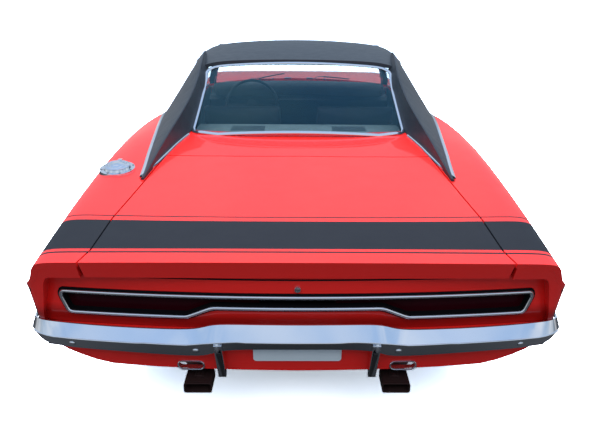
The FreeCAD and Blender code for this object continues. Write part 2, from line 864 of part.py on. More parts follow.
def build_rear_bumper():
    reach = mm("bumper_half_width") / 974
    rows = [
        (0, 0, 599, 553, 506, 0, 1), (150, 2, 599, 553, 506, 0, 1), (270, 7, 599, 554, 500, 0, 1),
        (316, 9, 592, 549, 479, 0, 1), (356, 11, 576, 537, 473, 0, 1), (450, 17, 572, 536, 473, 0, 1),
        (636, 36, 569, 535, 476, 0, 1), (800, 56, 571, 534, 477, 0, 1), (890, 68, 575, 533, 482, 0.2, 1),
        (946, 84, 574, 533, 494, 0.7, 0.7), (974, 118, 572, 533, 508, 1, 0.3),
        (976, 160, 568, 533, 514, 1, 0.3),
    ]
    rows = [(x * reach, *rest) for x, *rest in rows]
    bar = chevron_bar(rows, 41, 7)
    guard = prism_x(
        [(tail_y + 20, 546), (tail_y, 540), (tail_y + 90, 352), (tail_y + 104, 352), (tail_y + 108, 372),
        (tail_y + 68, 480)],
        261, 289,
    )
    bracket = block((500, tail_y + 42, 512), (560, tail_y + 200, 545)).common(tail_cutter(-seam))
    return bar, guard, bracket


# Nose: panel, bumper loop, grille, headlamps, valance.
def loop_outline():
    return both_sides([(0, 746), (640, 742), (860, 722), (925, 660), (932, 560), (905, 478), (840, 448),
        (0, 444)])


def nose_prism(points, grow=0, radius=0):
    return offset_prism(points, grow, nose_y - 500, nose_y + 200, radius)


def nose_layer(start, thickness):
    """A sheet that follows the nose face, its front start ahead of it."""
    return slab(nose_net(start), nose_net(start - thickness))


def build_nose_panel():
    points = [
        (0, hood_front_y + gap), (420, hood_front_y - 14 + gap), (742, hood_front_y - 62 + gap),
        (742 + gap - seam, nose_y + 100),
        (0, nose_y + 100),
    ]
    top = skin.common(prism_z(both_sides(points), 600, 1200))
    wings = block((742 + gap - seam, nose_y - 500, 400), (1200, nose_y + 100, 900)).cut(lining)
    face = nose_layer(0, wall).common(block((-1000, nose_y - 500, 446), (1000, nose_y + 100, 900)))
    face = face.common(body_solid(0.4 * wall)).cut(side_pair(wings)).cut(nose_prism(loop_outline(), seam, 30))
    return largest(top.fuse(face))


def build_front_bumper():
    ring = nose_prism(loop_outline(), 0, 30).cut(nose_prism(loop_outline(), -48, 20))
    return largest(nose_layer(12, 58).common(ring))


LAMPS = [(588, 592), (772, 594)]
LAMP_RADIUS = 82


def build_grille():
    bars = [block((-900, nose_y - 600, z), (900, nose_y + 100, z + 7)) for z in range(506, 710, 33)]
    posts = [block((x - 5, nose_y - 600, 440), (x + 5, nose_y + 100, 760)) for x in (0, 470, -470)]
    rim = nose_prism(loop_outline(), -30, 26).cut(nose_prism(loop_outline(), -54, 18))
    pattern = rim.fuse(bars + posts)
    layer = nose_layer(-46 - seam, 14).common(nose_prism(loop_outline(), -30, 26))
    for x, z in LAMPS:
        housing = rod((x, nose_y - 400, z), (x, nose_y + 100, z), LAMP_RADIUS + 10)
        bore = rod((x, nose_y - 400, z), (x, nose_y + 100, z), LAMP_RADIUS)
        pattern = pattern.fuse([housing, mirrored(housing)]).cut(Part.makeCompound([bore, mirrored(bore)]))
    return largest(layer.common(pattern))


def build_headlamps():
    lamps = []
    for x, z in LAMPS:
        back = nose_y - 60 - 90 * (x / mm("lamp_half_width")) ** 2
        radius = LAMP_RADIUS - seam
        lamp = rod((x, back - 60, z), (x, back + 6, z), radius)
        dome = Part.makeSphere(260, Vector(x, back + 12 - 260, z))
        lamp = lamp.fuse(rod((x, back, z), (x, back + 40, z), radius - 8).common(dome))
        lamps += [lamp, mirrored(lamp)]
    return Part.makeCompound(lamps)


def build_front_valance():
    """Sheet below the bumper loop, with its returns along both sides."""
    zone = offset_prism(
        both_sides([(0, 296), (600, 300), (1000, 318), (1000, 443.5), (0, 443.5)]),
        0, nose_y - 250 + seam, nose_y + 100,
    )
    face = nose_layer(0, wall).common(body_solid(0.4 * wall)).common(zone)
    sides = skin.common(zone).cut(nose_cutter(-0.4 * wall, along=3))
    return largest(face.fuse(sides))


def build_parking_lamps():
    lens = nose_layer(8 + seam, 8).common(nose_prism(box(520, 670, 366, 408), 0, 14))
    return side_pair(largest(lens))


# Cabin glass.
def build_windscreen(neighbours):
    rows = [
        (door_front_y + 22, 930, 725, 165), (door_front_y - 200, 1062, 690, 140),
        (door_front_y - 410, 1200, 640, 100),
        (door_front_y - 590, 1322, 590, 66),
    ]

    def net(inset):
        made = []
        for y, z, half, bow in rows:
            row = []
            for f in (-1, -0.72, -0.36, 0, 0.36, 0.72, 1):
                row.append(Vector(f * half, y - bow * f * f - 0.8 * inset, z - 30 * f * f - 0.6 * inset))
            made.append(row)
        return made

    pane = slab(net(0), net(mm("glass_wall")))
    for other in neighbours:
        pane = pane.cut(other)
    return largest(pane)


def build_rear_window(neighbours):
    rows = [
        (window_base_y - 12, 975, 600), (window_base_y + 180, 1096, 590), (window_base_y + 380, 1206, 560),
        (window_base_y + 575, 1292, 530),
    ]

    def net(inset):
        made = []
        for y, z, half in rows:
            row = []
            for f in (-1, -0.7, -0.35, 0, 0.35, 0.7, 1):
                row.append(Vector(f * half, y + 0.5 * inset, z - 26 * f * f - 0.8 * inset))
            made.append(row)
        return made

    pane = slab(net(0), net(mm("glass_wall")))
    for other in neighbours:
        pane = pane.cut(other)
    return largest(pane)


def build_pillars():
    sheet_solid = slab(side_glass_net(-4), side_glass_net(44))
    top = door_front_y - 560
    points = [
        (door_front_y - 142, 935), (top + 8, 1262), (top - 40, 1284), (top + 20, 1288), (top + 90, 1262),
        (door_front_y - 40, 935),
        (door_front_y - 40, 880), (door_front_y - 142, 880),
    ]
    raised = body_solid()
    raised.translate(Vector(0, 0, seam))
    pillar = sheet_solid.common(prism_x(points, 300, 1000)).cut(raised)
    pillar = largest(pillar.cut(block((mm("door_inner_half") - gap, -3000, 0), (1100, 3000, 946))))
    return pillar


# Wheels and running gear.
def build_tyre(label, x, y):
    made = new_body(label)
    half = "rim_width / 2"
    side = "tyre_width / 2"
    right = [
        (half, "rim_flange_radius + seam"), (side, "rim_flange_radius + 58"),
        (f"{side} - 7", "tyre_radius - 28"),
        (f"{side} - 28", "tyre_radius"),
    ]
    left = [(f"-({u})", v) for u, v in reversed(right)]
    revolve(made, "XY_Plane", right + left)
    seat_wheel(made, x, y)


def build_wheel(label, x, y, turned):
    made = new_body(label)
    half = "rim_width / 2"
    outer = [
        (f"-({half})", "rim_flange_radius"), ("-60", "bead_radius"), ("-30", "bead_radius - 29"),
        ("30", "bead_radius - 29"),
        ("60", "bead_radius"), (half, "rim_flange_radius"),
    ]
    inner = [
        (half, "rim_flange_radius - rim_wall"), ("36", "bead_radius - 35"), ("50", "hub_face_radius + 32"),
        ("18", "hub_face_radius"),
        ("18", "hub_bore_radius"), ("8", "hub_bore_radius"), ("8", "hub_face_radius + 2"),
        ("40", "hub_face_radius + 33"),
        ("24", "bead_radius - 35"), ("-36", "bead_radius - 35"),
        (f"-({half})", "rim_flange_radius - rim_wall"),
    ]
    revolve(made, "XY_Plane", outer + inner)
    slot = pocket(made, "YZ_Plane", [(("0", "wheel_slot_pitch_radius"), "wheel_slot_radius")], "60", "40")
    around_x(made, slot, "wheel_slots")
    stud = pad(made, "YZ_Plane", [(("0", "lug_circle_radius"), "stud_radius")], "stud_length + 1", "17")
    around_x(made, stud, "wheel_slots")
    # the left wheels are parked half a stud's pitch round from the right ones
    seat_wheel(made, x, y, turned, 36 if turned else 0)


def seat_wheel(made, x, y, turned=False, rolled=0):
    """Puts a part drawn about the axle in place, turned to the left side and rolled about the axle."""
    facing = Rotation(Vector(0, 0, 1), 180 if turned else 0)
    rolling = Rotation(Vector(1, 0, 0), rolled)
    made.Placement = Placement(Vector(value_of(x), value_of(y), mm("tyre_radius")), facing.multiply(rolling))
    made.setExpression("Placement.Base.x", bound(x))
    made.setExpression("Placement.Base.y", bound(y))
    made.setExpression("Placement.Base.z", bound("tyre_radius"))


def build_knuckle(label, turned):
    """Drum, hub and upright that a front wheel bolts to, drawn about the kingpin."""
    made = new_body(label)
    revolve(made, "XY_Plane", [
        ("kingpin_inset - 44", "0"), ("kingpin_inset - 44", "60"), ("kingpin_inset - 42", "127"),
        ("kingpin_inset + 4", "127"),
        ("kingpin_inset + 8 - seam", "80"), ("kingpin_inset + 8 - seam", "hub_bore_radius - 1"),
        ("kingpin_inset + 16", "hub_bore_radius - 1"),
        ("kingpin_inset + 16", "0"),
    ])
    pad(made, "XZ_Plane", [[
        ("-20", "-92"), ("20", "-92"), ("26", "-40"), ("26", "50"), ("18", "120"), ("-22", "120"),
        ("-26", "40"), ("-26", "-40"),
    ]], "56", midplane=True)
    pad(made, "XY_Plane", [(("0", "0"), "14")], "20", "119")
    seat_wheel(made, "kingpin_x" if not turned else "-kingpin_x", "front_axle_y", turned)


def build_rear_axle():
    made = new_body("rear_axle")
    wheel = "rear_wheel_x"
    revolve(made, "XY_Plane", [
        (f"-({wheel} + 8 - seam)", "0"), (f"-({wheel} + 8 - seam)", "80"), (f"-({wheel} + 4)", "127"),
        (f"-({wheel} - 48)", "127"),
        (f"-({wheel} - 50)", "axle_tube_radius"), ("-150", "axle_tube_radius"), ("-110", "118"),
        ("110", "118"), ("150", "axle_tube_radius"),
        (f"{wheel} - 50", "axle_tube_radius"), (f"{wheel} - 48", "127"), (f"{wheel} + 4", "127"),
        (f"{wheel} + 8 - seam", "80"),
        (f"{wheel} + 8 - seam", "0"),
    ])
    nose = pad(made, "XZ_Plane", [(("0", "0"), "62")], "190")
    nose.Reversed = True
    seat = "-46"
    spring = pad(made, "YZ_Plane", [[
        ("-735", "390 - floor_wall - seam - tyre_radius"), ("-690", "12"), ("-420", "-30"), ("0", seat),
        ("330", "-32"),
        ("520", "-24"), ("555", "350 - floor_wall - tyre_radius - 10.2"),
        ("585", "350 - floor_wall - tyre_radius - 32.7"),
        ("585", "-50"), ("330", "-52"), ("0", "-70"), ("-420", "-50"), ("-705", "-8"),
        ("-762", "390 - floor_wall - seam - tyre_radius"),
    ]], "60", "525")
    block_pad = pad(made, "YZ_Plane", [[("-50", "-72"), ("50", "-72"), ("50", "10"), ("-50", "10")]], "60",
        "525")
    mirror_x(made, spring, block_pad)
    seat_wheel(made, "0", "rear_axle_y")


def build_driveshaft():
    made = new_body("driveshaft")
    pad(made, "XZ_Plane", [(("0", "310"), "prop_radius")],
        "front_axle_y - 1120 - rear_axle_y - 190 - 2 * seam", "-(front_axle_y - 1120 - seam)")


def build_engine():
    made = new_body("engine_block")
    pad(made, "XZ_Plane", [[
        ("-150", "262"), ("150", "262"), ("190", "420"), ("310", "560"), ("270", "740"), ("60", "800"),
        ("-60", "800"), ("-270", "740"),
        ("-310", "560"), ("-190", "420"),
    ]], "700", "-(front_axle_y + 330)")
    pad(made, "XZ_Plane", [[("-80", "235"), ("80", "235"), ("80", "290"), ("52", "352"), ("-52", "352"),
        ("-80", "290")]],
        "750", "-(front_axle_y - 370)")


def build_subframe():
    made = new_body("front_subframe")
    lift = "300"
    rail = pad(made, "YZ_Plane", [[
        ("nose_y - 130", "400"), ("nose_y - 130", "500"), ("front_axle_y + 500", "480"),
        ("door_front_y + 180", "410"),
        ("door_front_y - 60", "206.7"), ("door_front_y - 400", "206.7"), ("door_front_y - 400", "150"),
        ("door_front_y - 20", "150"),
        ("door_front_y + 220", f"{lift}"), ("front_axle_y + 400", "330"), ("nose_y - 400", "400"),
    ]], "rail_width", "rail_x")
    pad(made, "YZ_Plane", [[
        ("front_axle_y - 60", "196"), ("front_axle_y + 60", "196"), ("front_axle_y + 60", "256"),
        ("front_axle_y - 60", "256"),
    ]], "2 * rail_x + 2 * rail_width", midplane=True)
    post = pad(made, "YZ_Plane", [[
        ("front_axle_y - 60", "200"), ("front_axle_y + 60", "200"), ("front_axle_y + 60", "380"),
        ("front_axle_y - 60", "380"),
    ]], "rail_width", "rail_x")
    arm = pad(made, "XY_Plane", [[
        ("rail_x + 20", "front_axle_y - 50"), ("kingpin_x - 6", "front_axle_y - 18"),
        ("kingpin_x + 12", "front_axle_y - 8"),
        ("kingpin_x + 12", "front_axle_y + 8"), ("kingpin_x - 6", "front_axle_y + 18"),
        ("rail_x + 20", "front_axle_y + 50"),
    ]], "tyre_radius - 92 - seam - 212", "212")
    mirror_x(made, rail, post, arm)
    radiator = pad(made, "XZ_Plane", [box("-(rail_x + 10)", "rail_x + 10", "430", "480")], "50",
        "-(nose_y - 240)")


def build_radiator():
    made = new_body("radiator")
    pad(made, "XZ_Plane", [box("-340", "340", "480 + seam", "800")], "56", "-(nose_y - 244)")


def build_floor():
    """Firewall, footwell, floor, axle hump and trunk floor, bent from one sheet."""
    made = new_body("floor_pan")
    upper = [
        ("door_front_y + 92", "870"), ("door_front_y + 60", "430"), ("door_front_y - 150", "floor_height"),
        ("door_rear_y - 240", "floor_height"),
        ("door_rear_y - 420", "350"), ("rear_axle_y + 300", "480"), ("rear_axle_y - 360", "480"),
        ("rear_axle_y - 520", "390"), ("tail_y + 120", "390"),
    ]
    lower = [
        ("tail_y + 120", "390 - floor_wall"), ("rear_axle_y - 516", "390 - floor_wall"),
        ("rear_axle_y - 356", "480 - floor_wall"),
        ("rear_axle_y + 296", "480 - floor_wall"), ("door_rear_y - 424", "350 - floor_wall"),
        ("door_rear_y - 244", "floor_height - floor_wall"),
        ("door_front_y - 146", "floor_height - floor_wall"), ("door_front_y + 68", "430 - floor_wall"),
        ("door_front_y + 100", "870"),
    ]
    pad(made, "YZ_Plane", [upper + lower], "2 * floor_half_width", midplane=True)
    pocket(made, "XY_Plane", [
        box("595", "floor_half_width + 10", "rear_axle_y - 420", "rear_axle_y + 420"),
        box("-(floor_half_width + 10)", "-595", "rear_axle_y - 420", "rear_axle_y + 420"),
        box("645", "floor_half_width + 10", "tail_y", "rear_axle_y - 420 + seam"),
        box("-(floor_half_width + 10)", "-645", "tail_y", "rear_axle_y - 420 + seam"),
    ], "2000")
    pocket(made, "XY_Plane", [[
        ("-800", "tail_y + 168"), ("-360", "tail_y + 138"), ("360", "tail_y + 138"), ("800", "tail_y + 168"),
        ("800", "tail_y"), ("-800", "tail_y"),
    ]], "2000")
    tunnel_out = [
        ("-tunnel_half_width", "floor_height"), ("tunnel_half_width", "floor_height"),
        ("tunnel_half_width - 35", "floor_height + tunnel_height"),
        ("-(tunnel_half_width - 35)", "floor_height + tunnel_height"),
    ]
    tunnel_in = [
        ("-(tunnel_half_width - 8)", "0"), ("tunnel_half_width - 8", "0"),
        ("tunnel_half_width - 8", "floor_height"),
        ("tunnel_half_width - 43", "floor_height + tunnel_height - 8"),
        ("-(tunnel_half_width - 43)", "floor_height + tunnel_height - 8"),
        ("-(tunnel_half_width - 8)", "floor_height"),
    ]
    pad(made, "XZ_Plane", [tunnel_out], "door_front_y + 62 - door_rear_y + 500", "-(door_front_y + 62)")
    pocket(made, "XZ_Plane", [tunnel_in], "door_front_y + 300 - door_rear_y + 510", "-(door_front_y + 300)",
        False).Reversed = True


def column_place():
    return Placement(Vector(-mm("driver_offset"), door_front_y - 640, 830), Rotation(Vector(1, 0, 0), 66))


def build_dashboard():
    made = new_body("dashboard_block")
    del parts["dashboard_block"]
    y = "door_front_y"
    pad(made, "YZ_Plane", [[
        (f"{y} + 72", "600"), (f"{y} + 91.5", "868"), (f"{y} - 200", "878"), (f"{y} - 380", "864"),
        (f"{y} - 410", "835"), (f"{y} - 350", "700"),
        (f"{y} - 290", "610"),
    ]], "2 * 735", midplane=True)
    bore = doc.addObject("Part::Cylinder", "column_bore")
    bore.setExpression("Radius", bound("column_radius + seam"))
    bore.Height = 1000
    bore.Placement = column_place().multiply(Placement(Vector(0, 0, -1000), Rotation()))
    cut = doc.addObject("Part::Cut", "dashboard")
    cut.Base = made
    cut.Tool = bore
    cut.Label = "dashboard"
    parts["dashboard"] = cut


def build_seats():
    made = new_body("front_seats")
    half = "seat_width / 2"
    y = "door_rear_y"
    side = "driver_offset - seat_width / 2"
    cushion = pad(made, "YZ_Plane", [[
        (f"{y} + 60", "300"), (f"{y} + 590", "330"), (f"{y} + 600", "440"), (f"{y} + 560", "475"),
        (f"{y} + 120", "440"), (f"{y} + 40", "470"),
        (f"{y} - 110", "900"), (f"{y} - 160", "1010"), (f"{y} - 215", "1000"), (f"{y} - 200", "880"),
        (f"{y} - 40", "400"),
    ]], "seat_width", side)
    riser = pad(made, "YZ_Plane", [[
        (f"{y} + 90", "floor_height + seam"), (f"{y} + 500", "floor_height + seam"), (f"{y} + 500", "330"),
        (f"{y} + 90", "310"),
    ]], "seat_width - 160", side + " + 80")
    mirror_x(made, cushion, riser)
    rear = new_body("rear_seat")
    pad(rear, "YZ_Plane", [[
        (f"{y} - 300", "floor_height + 75"), (f"{y} - 210", "300"), (f"{y} - 200", "430"),
        (f"{y} - 240", "455"), (f"{y} - 560", "425 + 70"), (f"{y} - 700", "880"),
        (f"{y} - 740", "900"), (f"{y} - 780", "880"), (f"{y} - 775", "480 + seam"),
        ("rear_axle_y + 300", "480 + seam"), (f"{y} - 420", "350 + seam"),
    ]], "2 * 560", midplane=True)
    pocket(rear, "XZ_Plane", [box("-(tunnel_half_width + 1)", "tunnel_half_width + 1", "200",
        "floor_height + tunnel_height + 1")], "3000")


def build_parcel_shelf():
    made = new_body("parcel_shelf")
    y = "door_rear_y"
    pad(made, "YZ_Plane", [[
        (f"{y} - 735", "912"), (f"{y} - 735", "924"), ("window_base_y - 20", "943.3"),
        ("window_base_y - 20", "931.3"), (f"{y} - 794", "914"),
        (f"{y} - 794", "480 + seam"), (f"{y} - 782", "480 + seam"), (f"{y} - 782", "900"),
    ]], "2 * 590", midplane=True)


def build_tank():
    made = new_body("fuel_tank")
    pad(made, "XY_Plane", [box("-380", "380", "tail_y + 320", "rear_axle_y - 600")], "130",
        "390 - floor_wall - seam - 130")


def build_plate():
    half = mm("plate_width") / 2
    height = mm("plate_height")
    plate = prism_y([(-half, 0), (half, 0), (half, height), (-half, height)], -4, 0, 12)
    feature = keep("number_plate", plate)
    feature.Placement = Placement(Vector(0, tail_y + 97.6, 420), Rotation(Vector(1, 0, 0), 8))


def build_steering():
    wheel = new_body("steering_wheel")
    revolve(wheel, "YZ_Plane", [
        ("steering_rim_radius - steering_grip_radius", "0"),
        ("steering_rim_radius - 6", "steering_grip_radius"),
        ("steering_rim_radius + 6", "steering_grip_radius"),
        ("steering_rim_radius + steering_grip_radius", "0"),
        ("steering_rim_radius + 6", "-steering_grip_radius"),
        ("steering_rim_radius - 6", "-steering_grip_radius"),
    ], "V_Axis")
    pad(wheel, "XY_Plane", [[("-(steering_rim_radius - 4)", "-14"), ("steering_rim_radius - 4", "-14"),
        ("steering_rim_radius - 4", "14"),
                             ("-(steering_rim_radius - 4)", "14")]], "6", "-9", midplane=True)
    pad(wheel, "XY_Plane", [(("0", "0"), "46")], "60", "-44")
    pad(wheel, "XY_Plane", [[("-14", "-(steering_rim_radius - 4)"), ("14", "-(steering_rim_radius - 4)"),
        ("14", "0"), ("-14", "0")]], "6", "-9",
        midplane=True)
    wheel.Placement = column_place()
    column = new_body("steering_column")
    pad(column, "XY_Plane", [(("0", "0"), "column_radius")], "330", "-44 - seam - 330")
    column.Placement = column_place()


def build_wheelhouses():
    """Inner arches: a curved liner over each wheel and the wall on its inner side."""
    pieces = []
    for axle_y, inner, notch in ((front_axle_y, 470, 0), (rear_axle_y, 600, 395)):
        outer_arch = arch_between(axle_y, mm("arch_radius") + 34, inner, 1000)
        bore = arch_between(axle_y, mm("arch_radius") + 26, inner + 6, 1100)
        shell = outer_arch.cut(bore)
        low = 300
        shell = shell.cut(block((inner - 1, axle_y - 360, 0), (inner + 8, axle_y + 360, low)))
        shell = shell.cut(block((0, axle_y - 600, 0), (1100, axle_y + 600, 250)))
        if notch:
            shell = shell.cut(block((inner - 1, axle_y - 62, 0), (inner + 8, axle_y + 62, notch)))
        shell = largest(shell.common(lining))
        pieces += [shell, mirrored(shell)]
    return Part.makeCompound(pieces)


def arch_between(axle_y, radius, x_from, x_to):
    drum = Part.makeCylinder(radius, x_to - x_from, Vector(x_from, axle_y, mm("tyre_radius")),
        Vector(1, 0, 0))
    legs = block((x_from, axle_y - radius, 0), (x_to, axle_y + radius, mm("tyre_radius")))
    return drum.fuse(legs).removeSplitter()


def route(points, radius):
    """A round pipe through the points, mitred at its corners."""
    corners = [Vector(*p) for p in points]
    direction = (corners[1] - corners[0]).normalize()
    ring = Part.Wire(Part.makeCircle(radius, corners[0], direction))
    return Part.makePolygon(corners).makePipeShell([ring], True, False, 1)


def build_exhaust():
    r = mm("exhaust_radius")
    pipe = route([
        (250, front_axle_y - 100, 300), (250, door_front_y - 100, 176), (330, door_front_y - 260, 176),
        (330, door_rear_y - 320, 176),
        (330, rear_axle_y + 230, 425), (330, rear_axle_y - 230, 425), (430, rear_axle_y - 520, 300),
        (430, tail_y + 300, 300), (368, tail_y + 180, 306),
        (368, tail_y + 130, 306),
    ], r)
    oval = prism_y([(250, 130), (410, 130), (430, 170), (410, 206.7), (250, 206.7), (230, 170)],
        door_rear_y - 250, door_rear_y + 300, 24)
    tip_half = mm("tip_width") / 2
    tip = prism_y(box(368 - tip_half, 368 + tip_half, 306 - mm("tip_height") / 2,
        306 + mm("tip_height") / 2), tail_y + 86, tail_y + 180, 10)
    bore = prism_y(box(368 - tip_half + 4, 368 + tip_half - 4, 310 - mm("tip_height") / 2,
        302 + mm("tip_height") / 2), tail_y + 80, tail_y + 160, 7)
    side = pipe.fuse([oval, tip]).cut(bore)
    return side_pair(side)


def build_filler():
    """Flip-up filler cap on the left haunch, standing square to the sheet metal."""
    surface = net_surface(body_net(0))
    across, along = surface.parameter(Vector(-802, rear_axle_y - 574, 915))
    seat = surface.value(across, along)
    normal = surface.normal(across, along)
    if normal.z < 0:
        normal = -normal
    flange = Part.makeCone(80, 76, 34, Vector(0, 0, -26))
    cap = Part.makeCone(60, 55, 10, Vector(0, 0, 6))
    ring = flange.fuse(cap)
    ring.Placement = Placement(seat, Rotation(Vector(0, 0, 1), normal))
    raised = body_solid()
    raised.translate(normal * seam)
    return largest(ring.cut(raised))


def build_hinges():
    """Hidden hinge boxes of the hood, the trunk lid and the doors."""
    pieces = []
    for edge_y, x in ((hood_rear_y, 560), (lid_front_y, 500)):
        hinge = block((x, edge_y - 70, 884), (x + 50, edge_y + 60, 1000)).common(lining)
        pieces += [hinge, mirrored(hinge)]
    for low in (420, 700):
        hinge = block((850, door_front_y + seam, low), (1000, door_front_y + 70, low + 60)).common(lining)
        pieces += [hinge, mirrored(hinge)]
    return Part.makeCompound(pieces)


def build_reversing_lamps():
    """Oval clear lamps let into the rear valance."""
    lamp = rounded_slot(392, 388, 95, 30)
    return side_pair(largest(tail_layer(-6, 20).common(lamp)))


def rounded_slot(x, z, width, height):
    """A lying oval through the tail, centred on (x, z)."""
    reach = (width - height) / 2
    bar = block((x - reach, tail_y - 100, z - height / 2), (x + reach, tail_y + 300, z + height / 2))
    ends = [rod((x + s * reach, tail_y - 100, z), (x + s * reach, tail_y + 300, z),
        height / 2) for s in (-1, 1)]
    return bar.fuse(ends).removeSplitter()


fenders = build_fenders()
quarters = build_quarters()
deck = build_deck_panel()
cowl = build_cowl()
roof = build_roof()
pillar = build_pillars()
roof = roof.fuse([pillar, mirrored(pillar)])
right_door = build_door()
right_pane = build_side_glass(door_glass_outline())
quarter_pane = build_side_glass(quarter_glass_outline())

keep("front_fenders", fenders)
keep("quarter_panels", quarters)
keep("deck_panel", deck)
keep("trunk_lid", build_lid())
keep("hood", build_hood())
keep("cowl_panel", cowl)
keep("sills", build_sills())
keep("door_right", right_door)
keep("door_left", mirrored(right_door))
keep("door_glass_right", right_pane)
keep("door_glass_left", mirrored(right_pane))
keep("roof", roof)
keep("quarter_glass", side_pair(largest(quarter_pane.cut(roof))))
keep("windscreen", build_windscreen([cowl, roof, side_pair(right_door), fenders]))
keep("rear_window", build_rear_window([deck, roof, quarters]))
keep("tail_panel", build_tail_panel())
keep("tail_lamp_ring", build_lamp_ring())
keep("tail_lamp_lens", build_lens())
keep("rear_valance", build_valance(quarters))
bar, guard, bracket = build_rear_bumper()
keep("rear_bumper", bar.fuse([guard, mirrored(guard), bracket, mirrored(bracket)]))
keep("nose_panel", build_nose_panel())
keep("front_bumper", build_front_bumper())
keep("grille", build_grille())
keep("headlamps", build_headlamps())
keep("front_valance", build_front_valance())
keep("parking_lamps", build_parking_lamps())
keep("wheelhouses", build_wheelhouses())
keep("exhaust_system", build_exhaust())
keep("fuel_filler", build_filler())
keep("hinges", build_hinges())
keep("reversing_lamps", build_reversing_lamps())
build_engine()
build_subframe()
build_radiator()
build_floor()
build_dashboard()
build_seats()
build_parcel_shelf()
build_tank()
build_plate()
build_steering()
build_rear_axle()
build_driveshaft()
for end, axle in (("front", "front_axle_y"), ("rear", "rear_axle_y")):
    for side, sign in (("left", "-"), ("right", "")):
        wheel_x = f"{sign}{end}_wheel_x"
        build_tyre(f"tyre_{end}_{side}", wheel_x, axle)
        build_wheel(f"wheel_{end}_{side}", wheel_x, axle, side == "left")
build_knuckle("knuckle_left", True)
build_knuckle("knuckle_right", False)

doc.recompute()
for item in doc.Objects:
    if "Invalid" in item.State or "Error" in item.State:
        raise RuntimeError(f"{item.Label} failed: {item.State}")
os.makedirs("parts", exist_ok=True)
for label, feature in parts.items():
    shape = feature.Shape
    if shape.isNull() or not shape.isValid():
        raise RuntimeError(f"{label} has no valid shape")
    shape.exportStep(f"parts/{label}.step")
    box = shape.BoundBox
    print(
        f"{label:20s} solids {len(shape.Solids)} faces {len(shape.Faces):3d} "
        f"x {box.XMin:7.0f} {box.XMax:7.0f} y {box.YMin:7.0f} {box.YMax:7.0f} z {box.ZMin:6.0f} {box.ZMax:6.0f}"
    )
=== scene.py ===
import bmesh
import bpy
import math
from mathutils import Matrix, Vector
from mathutils.bvhtree import BVHTree


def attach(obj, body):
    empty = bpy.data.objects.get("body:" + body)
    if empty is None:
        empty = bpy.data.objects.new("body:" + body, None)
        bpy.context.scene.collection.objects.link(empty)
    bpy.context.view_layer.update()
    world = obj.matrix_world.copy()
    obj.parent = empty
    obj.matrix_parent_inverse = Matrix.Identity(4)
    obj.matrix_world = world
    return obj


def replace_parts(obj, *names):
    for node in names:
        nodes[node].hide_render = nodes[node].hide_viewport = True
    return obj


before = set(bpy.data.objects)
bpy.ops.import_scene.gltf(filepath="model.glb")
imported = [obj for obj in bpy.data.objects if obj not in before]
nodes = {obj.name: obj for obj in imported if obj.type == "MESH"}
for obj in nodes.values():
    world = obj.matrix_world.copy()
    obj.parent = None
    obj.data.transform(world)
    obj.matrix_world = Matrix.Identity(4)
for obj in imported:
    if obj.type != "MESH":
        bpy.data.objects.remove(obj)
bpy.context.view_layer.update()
CAR = "car_body"
bpy.context.scene.view_settings.view_transform = "Standard"


# Finishes. Each one is a small node tree on the shader, read in object coordinates (metres).
def start_finish(name, colour, roughness, metallic=0.0, coat=0.0, coat_roughness=0.03, specular=0.5):
    finish = bpy.data.materials.new(name)
    finish.use_nodes = True
    tree = finish.node_tree
    shader = tree.nodes["Principled BSDF"]
    shader.inputs["Base Color"].default_value = (*colour, 1)
    shader.inputs["Roughness"].default_value = roughness
    shader.inputs["Metallic"].default_value = metallic
    shader.inputs["Coat Weight"].default_value = coat
    shader.inputs["Coat Roughness"].default_value = coat_roughness
    shader.inputs["Specular IOR Level"].default_value = specular
    place = tree.nodes.new("ShaderNodeTexCoord")
    return finish, tree, shader, place.outputs["Object"]


def noise(tree, place, scale, detail=3.0):
    texture = tree.nodes.new("ShaderNodeTexNoise")
    texture.inputs["Scale"].default_value = scale
    texture.inputs["Detail"].default_value = detail
    tree.links.new(place, texture.inputs["Vector"])
    return texture.outputs["Fac"]


def spread(tree, value, low, high, start=0.0, end=1.0):
    """Maps a value between start and end onto low to high."""
    ramp = tree.nodes.new("ShaderNodeMapRange")
    ramp.inputs["From Min"].default_value = start
    ramp.inputs["From Max"].default_value = end
    ramp.inputs["To Min"].default_value = low
    ramp.inputs["To Max"].default_value = high
    tree.links.new(value, ramp.inputs["Value"])
    return ramp.outputs["Result"]


def arithmetic(tree, operation, *values, clamp=False):
    """One sum on plain numbers and on other nodes' outputs."""
    node = tree.nodes.new("ShaderNodeMath")
    node.operation = operation
    node.use_clamp = clamp
    for socket, value in zip(node.inputs, values):
        if isinstance(value, float):
            socket.default_value = value
        else:
            tree.links.new(value, socket)
    return node.outputs[0]


def along_axis(tree, place, axis):
    axes = tree.nodes.new("ShaderNodeSeparateXYZ")
    tree.links.new(place, axes.inputs[0])
    return axes.outputs[axis]


def mix_shaders(tree, amount, first, second):
    mix = tree.nodes.new("ShaderNodeMixShader")
    tree.links.new(amount, mix.inputs["Fac"])
    tree.links.new(first, mix.inputs[1])
    tree.links.new(second, mix.inputs[2])
    return mix.outputs[0]


def blend_colours(tree, amount, first, second):
    mix = tree.nodes.new("ShaderNodeMix")
    mix.data_type = "RGBA"
    for socket, colour in (("A", first), ("B", second)):
        target = next(i for i in mix.inputs if i.name == socket and i.type == "RGBA")
        if isinstance(colour, tuple):
            target.default_value = (*colour, 1)
        else:
            tree.links.new(colour, target)
    tree.links.new(amount, mix.inputs["Factor"])
    return next(o for o in mix.outputs if o.type == "RGBA")


def darkened(colour, share):
    return tuple(c * share for c in colour)


def bump(tree, shader, height, distance, strength=1.0):
    node = tree.nodes.new("ShaderNodeBump")
    node.inputs["Strength"].default_value = strength
    node.inputs["Distance"].default_value = distance
    tree.links.new(height, node.inputs["Height"])
    tree.links.new(node.outputs["Normal"], shader.inputs["Normal"])


